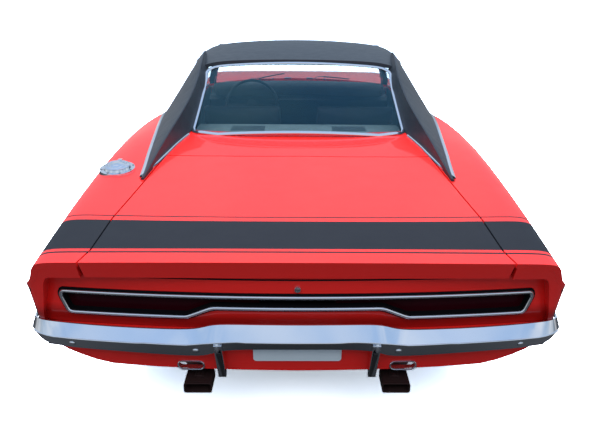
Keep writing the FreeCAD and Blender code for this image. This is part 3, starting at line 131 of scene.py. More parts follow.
def simple_finish(name, colour, roughness, grain=300.0, depth=0.00005, variation=0.08, **extra):
    """A finish with a fine grain, slight colour variation and uneven gloss."""
    finish, tree, shader, place = start_finish(name, colour, roughness, **extra)
    patches = noise(tree, place, 6.0)
    mottled = blend_colours(tree, patches, colour, darkened(colour, 1 - variation))
    tree.links.new(mottled, shader.inputs["Base Color"])
    gloss = spread(tree, noise(tree, place, 14.0), roughness * 0.8, roughness * 1.25)
    tree.links.new(gloss, shader.inputs["Roughness"])
    if depth:
        bump(tree, shader, noise(tree, place, grain, 2.0), depth)
    return finish


def band(tree, along, low, high):
    """1 between two places along an axis, 0 outside, with a crisp edge."""
    above = arithmetic(tree, "GREATER_THAN", along, low)
    below = arithmetic(tree, "LESS_THAN", along, high)
    return arithmetic(tree, "MULTIPLY", above, below)


def add_values(tree, values):
    total = values[0]
    for value in values[1:]:
        total = arithmetic(tree, "ADD", total, value, clamp=True)
    return total


CORAL = (0.84, 0.016, 0.012)
BLACK_BAND = (0.016, 0.018, 0.024)
BAND_EDGES = ((-2.520, -2.300), (-2.268, -2.260), (-2.548, -2.538))
# Heights on the tail panel where its painted shade starts and where it is darkest.
PAINTED_SHADE_START, PAINTED_SHADE_DARKEST = 0.640, 0.598
VINYL_BLACK, VINYL_DARKER = (0.020, 0.027, 0.037), (0.015, 0.021, 0.029)
LENS_RED, LENS_DARKER, LENS_MIDDLE = (0.030, 0.001, 0.004), (0.018, 0.001, 0.003), (0.002, 0.001, 0.002)
LENS_MIDDLE_HALF = 0.134


def paint_finish(name, striped, low=False):
    """Gloss coral enamel: with the black tail band where striped, and with painted shade darkening it towards its
    foot where low.
    """
    finish, tree, shader, place = start_finish(name, CORAL, 0.35, coat=0.6, coat_roughness=0.02, specular=0.2)
    colour = blend_colours(tree, noise(tree, place, 1.6), CORAL, darkened(CORAL, 0.93))
    gloss = spread(tree, noise(tree, place, 9.0), 0.30, 0.42)
    if low:
        # Painted shade: the enamel darkens towards the panel's foot, though the paint is one colour.
        shade = spread(tree, along_axis(tree, place, "Z"), 0.0, 1.0, PAINTED_SHADE_START, PAINTED_SHADE_DARKEST)
        colour = blend_colours(tree, shade, colour, darkened(CORAL, 0.42))
    if striped:
        y = along_axis(tree, place, "Y")
        black = add_values(tree, [band(tree, y, *edges) for edges in BAND_EDGES])
        colour = blend_colours(tree, black, colour, BLACK_BAND)
        tree.links.new(spread(tree, black, 0.6, 0.03), shader.inputs["Coat Weight"])
        gloss = arithmetic(tree, "MULTIPLY_ADD", black, 0.25, gloss)
    tree.links.new(colour, shader.inputs["Base Color"])
    tree.links.new(gloss, shader.inputs["Roughness"])
    bump(tree, shader, noise(tree, place, 900.0, 1.0), 0.000004, 0.4)
    return finish


def vinyl_finish():
    finish, tree, shader, place = start_finish("grained_black_vinyl", VINYL_BLACK, 0.42, specular=0.45)
    cells = tree.nodes.new("ShaderNodeTexVoronoi")
    cells.inputs["Scale"].default_value = 420.0
    tree.links.new(place, cells.inputs["Vector"])
    tree.links.new(spread(tree, noise(tree, place, 20.0), 0.36, 0.50), shader.inputs["Roughness"])
    colour = blend_colours(tree, noise(tree, place, 3.0), VINYL_BLACK, VINYL_DARKER)
    tree.links.new(colour, shader.inputs["Base Color"])
    bump(tree, shader, cells.outputs["Distance"], 0.0003, 0.6)
    return finish


def glass_finish(name, tint, mirrored):
    """Thin glass: each face lets tinted light straight through and mirrors the sky more as it turns edge-on."""
    finish, tree, shader, place = start_finish(name, tint, 0.02)
    clear = tree.nodes.new("ShaderNodeBsdfTransparent")
    haze = blend_colours(tree, noise(tree, place, 2.5), tint, darkened(tint, 0.97))
    tree.links.new(haze, clear.inputs["Color"])
    mirror = tree.nodes.new("ShaderNodeBsdfGlossy")
    mirror.inputs["Color"].default_value = (*mirrored, 1)
    tree.links.new(spread(tree, noise(tree, place, 5.0), 0.01, 0.04), mirror.inputs["Roughness"])
    edge = tree.nodes.new("ShaderNodeLayerWeight")
    edge.inputs["Blend"].default_value = 0.06
    share = spread(tree, edge.outputs["Facing"], 0.03, 1.0)
    thin = mix_shaders(tree, share, clear.outputs[0], mirror.outputs[0])
    tree.links.new(thin, tree.nodes["Material Output"].inputs["Surface"])
    return finish


def lens_finish():
    """Smoked dark red lamp glass, nearly black across the middle panel."""
    finish, tree, shader, place = start_finish("smoked_red_lens", LENS_RED, 0.2, coat=0.08, specular=0.12)
    tint = blend_colours(tree, noise(tree, place, 8.0), LENS_RED, LENS_DARKER)
    middle = band(tree, along_axis(tree, place, "X"), -LENS_MIDDLE_HALF, LENS_MIDDLE_HALF)
    tree.links.new(blend_colours(tree, middle, tint, LENS_MIDDLE), shader.inputs["Base Color"])
    return finish


def rubber_finish(name, colour=(0.018, 0.018, 0.019)):
    return simple_finish(name, colour, 0.62, grain=500.0, depth=0.0001)


finishes = {
    "paint": paint_finish("coral_enamel", False),
    "striped": paint_finish("coral_enamel_with_black_band", True),
    # The tail panel's enamel, with painted shade towards its foot.
    "tail": paint_finish("coral_enamel_with_painted_low_shade", False, low=True),
    "vinyl": vinyl_finish(),
    "chrome": simple_finish("bright_chrome", (0.80, 0.84, 0.90), 0.05, depth=0, metallic=1.0, variation=0.03),
    "glass": glass_finish("rear_window_glass", (0.93, 0.97, 0.98), (0.22, 0.50, 0.64)),
    "screen": glass_finish("clear_window_glass", (0.93, 0.97, 0.97), (0.7, 0.85, 0.9)),
    "clear": glass_finish("clear_lamp_glass", (0.93, 0.95, 0.96), (0.9, 0.9, 0.9)),
    "lens": lens_finish(),
    "amber": simple_finish("amber_lens", (0.75, 0.26, 0.03), 0.2, depth=0, coat=0.6),
    "black": simple_finish("satin_black_paint", (0.018, 0.018, 0.019), 0.45),
    "iron": simple_finish("engine_enamel", (0.10, 0.10, 0.11), 0.5, depth=0.0004, grain=120.0),
    "steel": simple_finish("dull_steel", (0.30, 0.30, 0.31), 0.4, metallic=0.9),
    "soot": simple_finish("sooty_exhaust_steel", (0.060, 0.032, 0.030), 0.42, metallic=0.6),
    "void": simple_finish("shadow_black", (0.004, 0.004, 0.005), 0.7, depth=0, specular=0.1),
    "mesh": simple_finish("speaker_mesh", (0.030, 0.040, 0.042), 0.7, grain=900.0, depth=0.0006),
    "red_marker": simple_finish("red_marker_lens", (0.35, 0.010, 0.008), 0.2, depth=0, coat=0.5),
    "tyre": rubber_finish("tyre_rubber"),
    "rubber": rubber_finish("black_rubber_strip", (0.02, 0.02, 0.021)),
    "trim": simple_finish("black_grained_plastic", (0.022, 0.022, 0.024), 0.5, grain=700.0, depth=0.0002),
    "seat": simple_finish("black_upholstery", (0.025, 0.025, 0.027), 0.5, grain=420.0, depth=0.0003),
    "plate": simple_finish("blank_grey_plate", (0.66, 0.72, 0.74), 0.45, depth=0),
    "wheel": simple_finish("silver_wheel_paint", (0.32, 0.33, 0.35), 0.35, metallic=0.6),
    "shelf": simple_finish("grey_green_board", (0.10, 0.13, 0.13), 0.8, grain=200.0, depth=0.0004),
}

NODE_FINISH = {
    "paint": [
        "front_fenders", "deck_panel", "hood", "cowl_panel", "sills", "door_right", "door_left", "rear_valance",
        "nose_panel", "front_valance",
    ],
    # The tail panel takes the enamel with painted shade near its foot.
    "tail": ["tail_panel"],
    "striped": ["quarter_panels", "trunk_lid"],
    "vinyl": ["roof"],
    "chrome": ["tail_lamp_ring", "rear_bumper", "front_bumper", "fuel_filler"],
    "glass": ["rear_window"],
    "screen": ["door_glass_right", "door_glass_left", "quarter_glass", "windscreen"],
    "clear": ["headlamps", "reversing_lamps"],
    "lens": ["tail_lamp_lens"],
    "amber": ["parking_lamps"],
    "black": ["hinges", "grille", "wheelhouses", "front_subframe", "radiator", "floor_pan"],
    "iron": ["engine_block", "rear_axle", "knuckle_left", "knuckle_right"],
    "steel": ["fuel_tank", "driveshaft"],
    "soot": ["exhaust_system"],
    "tyre": [f"tyre_{end}_{side}" for end in ("front", "rear") for side in ("left", "right")],
    "wheel": [f"wheel_{end}_{side}" for end in ("front", "rear") for side in ("left", "right")],
    "trim": ["dashboard", "steering_wheel", "steering_column"],
    "seat": ["front_seats", "rear_seat"],
    "plate": ["number_plate"],
    "shelf": ["parcel_shelf"],
}
for finish, names in NODE_FINISH.items():
    for name in names:
        nodes[name].data.materials.clear()
        nodes[name].data.materials.append(finishes[finish])


# Shape helpers. Lengths are metres, and every piece is made in place, in the car's own frame.
UP, BACK, AHEAD = Vector((0, 0, 1)), Vector((0, -1, 0)), Vector((0, 1, 0))


def search_tree(*names):
    """A ray-cast tree over the named nodes' surfaces."""
    corners = []
    faces = []
    for name in names:
        mesh = nodes[name].data
        start = len(corners)
        corners += [v.co.copy() for v in mesh.vertices]
        faces += [tuple(start + i for i in p.vertices) for p in mesh.polygons]
    return BVHTree.FromPolygons(corners, faces)


def drop(tree, x, y, top=2.0):
    """Where a plumb line meets a surface, and the surface's upward normal there."""
    hit, normal, _, _ = tree.ray_cast(Vector((x, y, top)), Vector((0, 0, -1)))
    if hit is None:
        return None, None
    return hit, normal if normal.z > 0 else -normal


def shoot(tree, start, direction):
    """Where a ray meets a surface, and the normal that looks back along the ray."""
    way = Vector(direction).normalized()
    hit, normal, _, _ = tree.ray_cast(Vector(start), way)
    if hit is None:
        return None, None
    return hit, normal if normal.dot(way) < 0 else -normal


def furthest(hits, reach, margin):
    """The hit that reaches furthest; a later one has to beat the best so far by the margin."""
    best = None
    for hit in hits:
        if hit and (best is None or reach(hit) > reach(best) + margin):
            best = hit
    return best


def oval(width, height, steps=12):
    turns = [2 * math.pi * i / steps for i in range(steps)]
    return [(0.5 * width * math.cos(turn), 0.5 * height * math.sin(turn)) for turn in turns]


def flat_bar(width, height, base=0.0):
    half = width / 2
    return [(-half, base), (half, base), (half, base + height), (-half, base + height)]


def outline_edges(shape, places):
    """A closed loop of edges through the given places."""
    corners = [shape.verts.new(place) for place in places]
    return [shape.edges.new((corners[i - 1], corners[i])) for i in range(len(corners))]


def station(path, ups, i, closed, size):
    """The frame of a swept section at one point of its path: sideways, upwards, along, place."""
    place = path[i]
    before = path[i - 1] if closed or i else place
    after = path[(i + 1) % len(path)] if closed or i < len(path) - 1 else place
    along = (after - before).normalized()
    up = (ups[i] - along * ups[i].dot(along)).normalized()
    side = along.cross(up)
    turn = Matrix((side * size, up * size, along)).transposed().to_4x4()
    return Matrix.Translation(place) @ turn


def sweep(path, ups, section, closed=False, taper=None):
    """A bar along a path. Section points are (sideways, upwards); ups is one direction, or one for each place."""
    shape = bmesh.new()
    if isinstance(ups, Vector):
        ups = [ups] * len(path)
    frames = [station(path, ups, i, closed, taper[i] if taper else 1.0) for i in range(len(path))]
    first = outline_edges(shape, [frames[0] @ Vector((a, b, 0)) for a, b in section])
    last = first
    for i in range(1, len(path)):
        grown = bmesh.ops.extrude_edge_only(shape, edges=last)["geom"]
        corners = [part for part in grown if isinstance(part, bmesh.types.BMVert)]
        last = [part for part in grown if isinstance(part, bmesh.types.BMEdge)]
        bmesh.ops.transform(shape, matrix=frames[i] @ frames[i - 1].inverted(), verts=corners)
    if closed:
        bmesh.ops.bridge_loops(shape, edges=first + last)
    else:
        bmesh.ops.edgeloop_fill(shape, edges=first)
        bmesh.ops.edgeloop_fill(shape, edges=last)
    return shape


def standing(place, axis):
    """Stands a shape that was made along Z on a place, along an axis."""
    turn = UP.rotation_difference(Vector(axis).normalized()).to_matrix().to_4x4()
    return Matrix.Translation(Vector(place)) @ turn


def full_turn(shape, outline, steps):
    """Spins an outline once round Z."""
    bmesh.ops.spin(
        shape, geom=outline, cent=(0, 0, 0), axis=(0, 0, 1), dvec=(0, 0, 0), angle=2 * math.pi, steps=steps,
        use_merge=True,
    )


def turned(profile, place, axis, steps=32, shape=None):
    """A solid of revolution: profile points are (radius, height) along the axis from place."""
    part = bmesh.new()
    corners = [part.verts.new((radius, 0, height)) for radius, height in profile]
    edges = [part.edges.new((corners[i], corners[i + 1])) for i in range(len(corners) - 1)]
    full_turn(part, corners + edges, steps)
    bmesh.ops.remove_doubles(part, verts=part.verts[:], dist=1e-6)
    open_edges = [edge for edge in part.edges if edge.is_boundary]
    if open_edges:
        bmesh.ops.holes_fill(part, edges=open_edges, sides=0)
    bmesh.ops.transform(part, matrix=standing(place, axis), verts=part.verts[:])
    return join_shapes(shape, part)


def join_shapes(shape, part):
    """Adds one shape to another."""
    if shape is None:
        return part
    mesh = bpy.data.meshes.new("scratch")
    part.to_mesh(mesh)
    part.free()
    shape.from_mesh(mesh)
    bpy.data.meshes.remove(mesh)
    return shape


def brick(low, high, shape=None, bevel=0.0):
    """A box, its edges eased by bevel."""
    part = bmesh.new()
    bmesh.ops.create_cube(part, size=1.0)
    low, high = Vector(low), Vector(high)
    for vertex in part.verts:
        vertex.co = Vector(low[k] + (vertex.co[k] + 0.5) * (high[k] - low[k]) for k in range(3))
    if bevel:
        bmesh.ops.bevel(
            part, geom=part.edges[:], offset=bevel, offset_type="OFFSET", segments=2, profile=0.5,
            affect="EDGES", material=-1,
        )
    return join_shapes(shape, part)


def linked(name, data):
    """A new object in the scene."""
    made = bpy.data.objects.new(name, data)
    bpy.context.collection.objects.link(made)
    return made


def smooth_faces(mesh):
    mesh.polygons.foreach_set("use_smooth", [True] * len(mesh.polygons))


def piece(name, shape, finish, slot_name=None, body=CAR, sharp=35.0):
    """Turns a finished shape into a piece that rides on a body. The slot name it takes is not used."""
    slot_name = slot_name or finish
    bmesh.ops.recalc_face_normals(shape, faces=shape.faces[:])
    mesh = bpy.data.meshes.new(name)
    shape.to_mesh(mesh)
    shape.free()
    smooth_faces(mesh)
    mesh.set_sharp_from_angle(angle=math.radians(sharp))
    mesh.materials.append(finishes[finish])
    made = linked(name, mesh)
    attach(made, body)
    return made


def both(build):
    """Runs a maker once for each side of the car, with -1 for the left and 1 for the right."""
    for name, side in (("left", -1), ("right", 1)):
        build(name, side)


# Rear window surround and the bright mouldings along the feet of the roof sails.
roof_tree = search_tree("roof")
pane_tree = search_tree("rear_window")
top_tree = search_tree("quarter_panels", "deck_panel", "trunk_lid")


def window_half_width(y):
    """Half the clear width between the sails at the glass."""
    glass, _ = drop(pane_tree, 0.45, y)
    hit, _ = shoot(roof_tree, (0, y, glass.z + 0.012), (1, 0, 0))
    return hit.x if hit else 0.56


def mirrored_outline(points):
    return [(-x, y) for x, y in reversed(points)]


def window_surround():
    """The bright bar round the rear window, laid on the pane just inside the sails."""
    bottom, top = -1.300, -0.762
    stations = 14
    rows = [bottom + 0.045 + (top - bottom - 0.11) * i / stations for i in range(stations + 1)]
    side = [(window_half_width(y) - 0.008, y) for y in rows]
    lower_x, upper_x = side[0][0], side[-1][0]
    lower_corner = [
        (lower_x - 0.045, bottom), (lower_x - 0.022, bottom + 0.005), (lower_x - 0.006, bottom + 0.020),
    ]
    upper_corner = [
        (upper_x - 0.006, top - 0.045), (upper_x - 0.020, top - 0.026), (upper_x - 0.042, top - 0.011),
        (upper_x - 0.075, top - 0.003),
    ]
    across = [(upper_x - 0.12 - (upper_x - 0.12) * i / 6, top) for i in range(6)]
    right = lower_corner + side + upper_corner + across
    lower = [((lower_x - 0.05) * i / 6, bottom - 0.004) for i in range(1, 6)]
    outline = lower + right + [(0.0, top)] + mirrored_outline(right) + mirrored_outline(lower)
    outline.append((0.0, bottom - 0.004))
    path, ups = [], []
    for x, y in outline:
        hit, normal = drop(pane_tree, x, y)
        if hit is None:
            hit, normal = drop(pane_tree, x * 0.97, min(max(y, bottom + 0.02), top - 0.02))
            hit = Vector((x, y, hit.z))
        path.append(hit + normal * 0.003)
        ups.append(normal)
    piece("rear_window_surround", sweep(path, ups, oval(0.021, 0.013), closed=True), "chrome")


def sail_foot(y, outside):
    """Where a sail's outer or inner face meets the sheet metal below, on the right."""
    x = 0.80 if outside else 0.56
    away = 1 if outside else -1
    start = 1.2 if outside else 0.0
    hit = None
    for _ in range(4):
        ground, _ = drop(top_tree, x + away * 0.006, y, 1.02)
        if ground is None:
            return None
        hit, _ = shoot(roof_tree, (start, y, ground.z + 0.005), (-away, 0, 0))
        if hit is None:
            return None
        x = hit.x
    return Vector((x + away * 0.004, y, ground.z + 0.004))


def sail_moulding(name, side):
    """One bright strip down a sail's outer foot, round its tip and up the inner foot."""
    start, tip, end = -0.70, -1.905, -1.335
    outer = [sail_foot(start + (tip - start) * i / 30, True) for i in range(31)]
    inner = [sail_foot(tip + (end - tip) * i / 16, False) for i in range(17)]
    outer = [foot for foot in outer if foot]
    inner = [foot for foot in inner if foot]
    cap = [
        outer[-1].lerp(inner[0], 0.12) + Vector((0, -0.012, -0.001)),
        0.5 * (outer[-1] + inner[0]) + Vector((0, -0.020, -0.002)),
        outer[-1].lerp(inner[0], 0.88) + Vector((0, -0.012, -0.001)),
    ]
    path = [Vector((p.x * side, p.y, p.z)) for p in outer + cap + inner]
    piece(f"sail_moulding_{name}", sweep(path, UP, oval(0.017, 0.013, 10)), "chrome")


window_surround()
both(sail_moulding)


# Tail details.
tail_tree = search_tree("tail_panel")
bumper_tree = search_tree("rear_bumper")


def from_behind(tree, x, z):
    """Where a level line from behind the car meets a surface, and the normal there."""
    return shoot(tree, (x, -3, z), AHEAD)


def trunk_lock():
    seat, normal = from_behind(tail_tree, 0, 0.727)
    rim = turned([
        (0.0125, 0.0), (0.0125, 0.006), (0.0105, 0.009), (0.0085, 0.009), (0.0080, 0.006), (0.0, 0.006),
    ], seat, normal, 28)
    piece("trunk_lock_rim", rim, "chrome")
    face = turned([(0.0079, 0.0), (0.0079, 0.0072), (0.006, 0.0085), (0.0, 0.009)], seat, normal, 24)
    piece("trunk_lock_barrel", face, "steel")


def bumper_bolts():
    shape = bmesh.new()
    for x in (-0.80, -0.355, 0.355, 0.80):
        seat, normal = from_behind(bumper_tree, x, 0.505)
        turned([
            (0.012, -0.003), (0.012, 0.001), (0.010, 0.004), (0.006, 0.006), (0.0, 0.0065),
        ], seat, normal, 20, shape)
    piece("rear_bumper_bolts", shape, "chrome")


def guard_trim(name, side):
    """A chrome cap and a tapering rubber face on each bumper guard."""
    cap = bmesh.new()
    bmesh.ops.create_uvsphere(cap, u_segments=20, v_segments=12, radius=1.0)
    centre, size = Vector((side * 0.278, -2.6318, 0.529)), (0.0095, 0.0095, 0.021)
    bmesh.ops.transform(cap, matrix=Matrix.LocRotScale(centre, None, Vector(size)), verts=cap.verts[:])
    piece(f"guard_cap_{name}", cap, "chrome")
    start, end = Vector((side * 0.2745, -2.6335, 0.508)), Vector((side * 0.2690, -2.5545, 0.358))
    shares = [i / 8 for i in range(9)]
    path = [start.lerp(end, share) for share in shares]
    narrowing = [1.0 - 0.35 * share for share in shares]
    strip = sweep(path, Vector((0, -1, -0.5)), flat_bar(0.015, 0.004, -0.001), taper=narrowing)
    piece(f"guard_rubber_{name}", strip, "rubber", "trim")


def filler_details():
    """The flip-up lid on the filler's base, eight screws round it and a tab for a finger."""
    seat, normal = drop(search_tree("fuel_filler"), -0.802, -1.8295)
    base = seat - normal * 0.0005
    lid = turned([
        (0.054, 0.0), (0.054, 0.004), (0.050, 0.007), (0.043, 0.008), (0.040, 0.005), (0.036, 0.0045),
        (0.030, 0.009), (0.018, 0.0125), (0.0, 0.0135),
    ], base, normal, 40)
    piece("filler_flip_lid", lid, "chrome")
    side = normal.cross(AHEAD).normalized()
    front = side.cross(normal).normalized()
    screws = bmesh.new()
    for i in range(8):
        angle = 2 * math.pi * (i + 0.5) / 8
        spot = base - normal * 0.009 + (side * math.cos(angle) + front * math.sin(angle)) * 0.0685
        turned([(0.0052, -0.004), (0.0052, 0.002), (0.0035, 0.0035), (0.0, 0.0038)], spot, normal, 14, screws)
    piece("filler_screws", screws, "steel")
    steps = ((0.045, 0.006), (0.062, 0.004), (0.070, -0.004))
    bend = [base + front * out + normal * lift for out, lift in steps]
    piece("filler_finger_tab", sweep(bend, normal, flat_bar(0.018, 0.004)), "chrome")


# The right half of the lamp ring's outline, clockwise as seen from behind: its corners in (x, z).
LAMP_TOP, LAMP_LOW, LAMP_RAISED = 0.700, 0.602, 0.642
LAMP_RIGHT = [(0.832, LAMP_TOP), (0.842, 0.676), (0.818, LAMP_LOW), (0.388, LAMP_LOW), (0.298, LAMP_RAISED)]


def rounded_outline(points, radius, spacing=0.04):
    """A closed outline with its corners rounded and its long sides divided."""
    count = len(points)
    made = []
    for i in range(count):
        before, here, after = Vector(points[i - 1]), Vector(points[i]), Vector(points[(i + 1) % count])
        cut = min(radius, 0.45 * (before - here).length, 0.45 * (after - here).length)
        start = here + (before - here).normalized() * cut
        end = here + (after - here).normalized() * cut
        if made:
            last = made[-1]
            steps = int((start - last).length / spacing)
            made += [last.lerp(start, k / (steps + 1)) for k in range(1, steps + 1)]
        for k in range(5):
            t = k / 4
            made.append(start * (1 - t) ** 2 + here * 2 * t * (1 - t) + end * t ** 2)
    last, first = made[-1], made[0]
    steps = int((first - last).length / spacing)
    made += [last.lerp(first, k / (steps + 1)) for k in range(1, steps + 1)]
    return made


def grown_outline(points, grow):
    """Moves every side of a closed outline outwards; the points run clockwise seen from behind."""
    made = []
    for i, here in enumerate(points):
        here = Vector(here)
        ahead = (Vector(points[(i + 1) % len(points)]) - here).normalized()
        behind = (here - Vector(points[i - 1])).normalized()
        side = Vector((-ahead.y, ahead.x)) + Vector((-behind.y, behind.x))
        side = side / (0.5 * side.length ** 2)
        made.append(here + side * grow)
    return made


def on_tail(tree, outline, lift):
    """Lays an outline of (x, z) points on the surface behind the car's tail."""
    path = []
    for point in outline:
        seat, _ = from_behind(tree, point.x, point.y)
        if seat is None:
            seat, _ = from_behind(tree, point.x * 0.995, point.y - 0.001)
        path.append(Vector((point.x, (seat.y if seat else path[-1].y) - lift, point.y)))
    return path


def lamp_edges():
    """The painted shadow line round the outside of the ring, its rounded bead, and painted shade down the ring's
    inside wall that leads in to the lens.
    """
    whole = LAMP_RIGHT + mirrored_outline(LAMP_RIGHT)
    ring_tree = search_tree("tail_lamp_ring")
    # Painted shadow: a shadow-black band round the outside of the ring.
    path = on_tail(tail_tree, rounded_outline(grown_outline(whole, 0.0035), 0.024), 0.001)
    piece("lamp_ring_painted_shadow", sweep(path, BACK, oval(0.008, 0.006, 8), closed=True), "void", "trim")
    path = on_tail(ring_tree, rounded_outline(grown_outline(whole, -0.0065), 0.018), 0.0)
    piece("lamp_ring_bead", sweep(path, BACK, oval(0.0115, 0.008), closed=True), "chrome")
    # Painted shade: a shadow-black band down the inside of the ring, covering the panel's red there.
    inner = rounded_outline(grown_outline(whole, -0.0150), 0.012)
    face = on_tail(ring_tree, rounded_outline(grown_outline(whole, -0.0115), 0.014), 0.0)
    path = []
    for point in inner:
        nearest = min(face, key=lambda spot: (spot.x - point.x) ** 2 + (spot.z - point.y) ** 2)
        path.append(Vector((point.x, nearest.y + 0.001, point.y)))
    inner_shade_bar = flat_bar(0.0024, 0.030, -0.030)
    piece("lamp_ring_painted_inner_shade", sweep(path, BACK, inner_shade_bar, closed=True), "void", "trim")


def lid_shadow_line():
    """A painted shadow line on the tail panel, under the trunk lid's rear edge."""
    # Painted shadow: a shadow-black bar laid on the tail panel just below the lid's overhang.
    path = []
    for i in range(41):
        x = -0.722 + 1.444 * i / 40
        seat, _ = from_behind(tail_tree, x, 0.7640)
        path.append(Vector((x, seat.y - 0.0006, 0.7645)))
    piece("trunk_lid_painted_shadow", sweep(path, UP, oval(0.004, 0.0065, 8)), "void", "trim")


def bumper_beads():
    """The rolled edge along the bumper's crease, left out where the guards cross it."""
    path = []
    for i in range(65):
        x = -0.948 + 1.896 * i / 64
        hits = [from_behind(bumper_tree, x, 0.520 + 0.002 * k)[0] for k in range(34)]
        crease = furthest(hits, lambda hit: -hit.y, 0.0002)
        if crease and not 0.250 < abs(x) < 0.300:
            path.append(crease + Vector((0, -0.0012, 0)))
    piece("rear_bumper_bead", sweep(path, Vector((0, -1, -0.3)), oval(0.0090, 0.0056)), "chrome")


def reversing_bezel(name, side):
    """A bright rim round each oval lamp below the bumper."""
    lamp_tree = search_tree("rear_valance", "reversing_lamps")
    path = []
    for i in range(36):
        angle = 2 * math.pi * i / 36
        wide = 0.030 * (1 if math.cos(angle) > 0 else -1) + 0.0185 * math.cos(angle)
        x, z = side * 0.392 + wide, 0.388 + 0.0185 * math.sin(angle)
        seat, _ = from_behind(lamp_tree, x, z)
        path.append(Vector((x, (seat.y if seat else path[-1].y) - 0.001, z)))
    level = min(spot.y for spot in path)
    path = [Vector((spot.x, 0.5 * (spot.y + level), spot.z)) for spot in path]
    rim = sweep(path, BACK, oval(0.0065, 0.008, 10), closed=True)
    piece(f"reversing_bezel_{name}", rim, "chrome")


trunk_lock()
bumper_bolts()
both(guard_trim)
filler_details()
lamp_edges()
lid_shadow_line()
bumper_beads()
both(reversing_bezel)


# Wheels and tyres.
AXLES = (("front", 0.758, 1.7165), ("rear", 0.752, -1.2555))
HUB_HEIGHT = 0.334
STUD_CIRCLE = 0.05715
TREAD_STEPS = 144
TREAD_NOTCH = 0.0040
# Half of the tyre's section as (across, radius): from the bead over the sidewall to the middle of the tread.
TYRE_HALF = [
    (0.0860, 0.1925), (0.0925, 0.1970), (0.1010, 0.2110), (0.1062, 0.2280), (0.1092, 0.2440), (0.1096, 0.2470),
    (0.1098, 0.2550), (0.1086, 0.2570), (0.1086, 0.2600), (0.1094, 0.2620), (0.1084, 0.2740), (0.1064, 0.2880),
    (0.1044, 0.2990), (0.1052, 0.3010), (0.1040, 0.3040), (0.0990, 0.3140), (0.0925, 0.3225), (0.0860, 0.3280),
    (0.0800, 0.3318), (0.0660, 0.3328), (0.0645, 0.3275), (0.0595, 0.3275), (0.0580, 0.3332), (0.0300, 0.3337),
    (0.0285, 0.3277), (0.0225, 0.3277), (0.0210, 0.3339), (0.0, 0.3340),
]


def detailed_tyre(name, side, track, y):
    """Ribbed tread with notched shoulders, and a ringed sidewall."""
    profile = TYRE_HALF + [(-x, r) for x, r in reversed(TYRE_HALF[:-1])]
    shape = bmesh.new()
    corners = [shape.verts.new((r, 0, x)) for x, r in profile]
    edges = [shape.edges.new((corners[i - 1], corners[i])) for i in range(len(corners))]
    full_turn(shape, corners + edges, TREAD_STEPS)
    bmesh.ops.recalc_face_normals(shape, faces=shape.faces[:])
    notches = []
    for face in shape.faces:
        middle = face.calc_center_median()
        radius = math.hypot(middle.x, middle.y)
        step = int((math.atan2(middle.y, middle.x) % (2 * math.pi)) / (2 * math.pi) * TREAD_STEPS)
        on_shoulder = 0.0800 < abs(middle.z) < 0.1000 and radius > 0.3150
        on_rib = 0.0300 < abs(middle.z) < 0.0580 and radius > 0.3320
        if on_shoulder and step % 4 == 0 or on_rib and (step + (2 if middle.z > 0 else 0)) % 4 == 0:
            notches.append(face)
    sunk = bmesh.ops.extrude_face_region(shape, geom=notches)["geom"]
    for corner in sunk:
        if isinstance(corner, bmesh.types.BMVert):
            away = math.hypot(corner.co.x, corner.co.y)
            corner.co.x *= 1 - TREAD_NOTCH / away
            corner.co.y *= 1 - TREAD_NOTCH / away
    bmesh.ops.delete(shape, geom=notches, context="FACES_ONLY")
    hub = standing((side * track, y, HUB_HEIGHT), (side, 0, 0))
    bmesh.ops.transform(shape, matrix=hub, verts=shape.verts[:])
    tyre = piece(f"tyre_detail_{name}", shape, "tyre", body=f"road_wheel_{name}", sharp=28)
    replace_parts(tyre, f"tyre_{name}")


def wheel_trim(name, side, track, y):
    """Bright trim ring, centre cap and five nuts."""
    body = f"road_wheel_{name}"
    out = Vector((side, 0, 0))
    hub = Vector((side * track, y, HUB_HEIGHT))
    ring = turned([
        (0.1700, 0.052), (0.1760, 0.064), (0.1830, 0.078), (0.1880, 0.0875), (0.1925, 0.0905), (0.1935, 0.0880),
        (0.1890, 0.0850), (0.1845, 0.0765), (0.1775, 0.0620), (0.1715, 0.0505), (0.1700, 0.052),
    ], hub, out, 64)
    piece(f"trim_ring_{name}", ring, "chrome", body=body)
    cap = turned([
        (0.0, 0.052), (0.012, 0.0515), (0.020, 0.0490), (0.026, 0.0450), (0.0285, 0.0400), (0.0290, 0.0250),
        (0.0325, 0.0220), (0.0330, 0.0185), (0.0, 0.0185),
    ], hub, out, 40)
    piece(f"centre_cap_{name}", cap, "chrome", body=body)
    nuts = bmesh.new()
    for i in range(5):
        turn = 2 * math.pi * i / 5 + (math.radians(36) if side < 0 else 0)
        spot = hub + Vector((0, STUD_CIRCLE * math.sin(turn), STUD_CIRCLE * math.cos(turn))) + out * 0.0185
        turned([
            (0.0125, 0.0), (0.0125, 0.003), (0.0105, 0.005), (0.0105, 0.020), (0.0085, 0.025), (0.0, 0.0265),
        ], spot, out, 6, nuts)
    piece(f"wheel_nuts_{name}", nuts, "chrome", body=body, sharp=20)


for end, track, y in AXLES:
    for hand, side in (("left", -1), ("right", 1)):
        detailed_tyre(f"{end}_{hand}", side, track, y)
        wheel_trim(f"{end}_{hand}", side, track, y)


# Outside trim on the sides and front.
def from_side(tree, side, y, z):
    """Where a level line from one side meets a surface, and the normal there."""
    return shoot(tree, (side * 1.3, y, z), (-side, 0, 0))


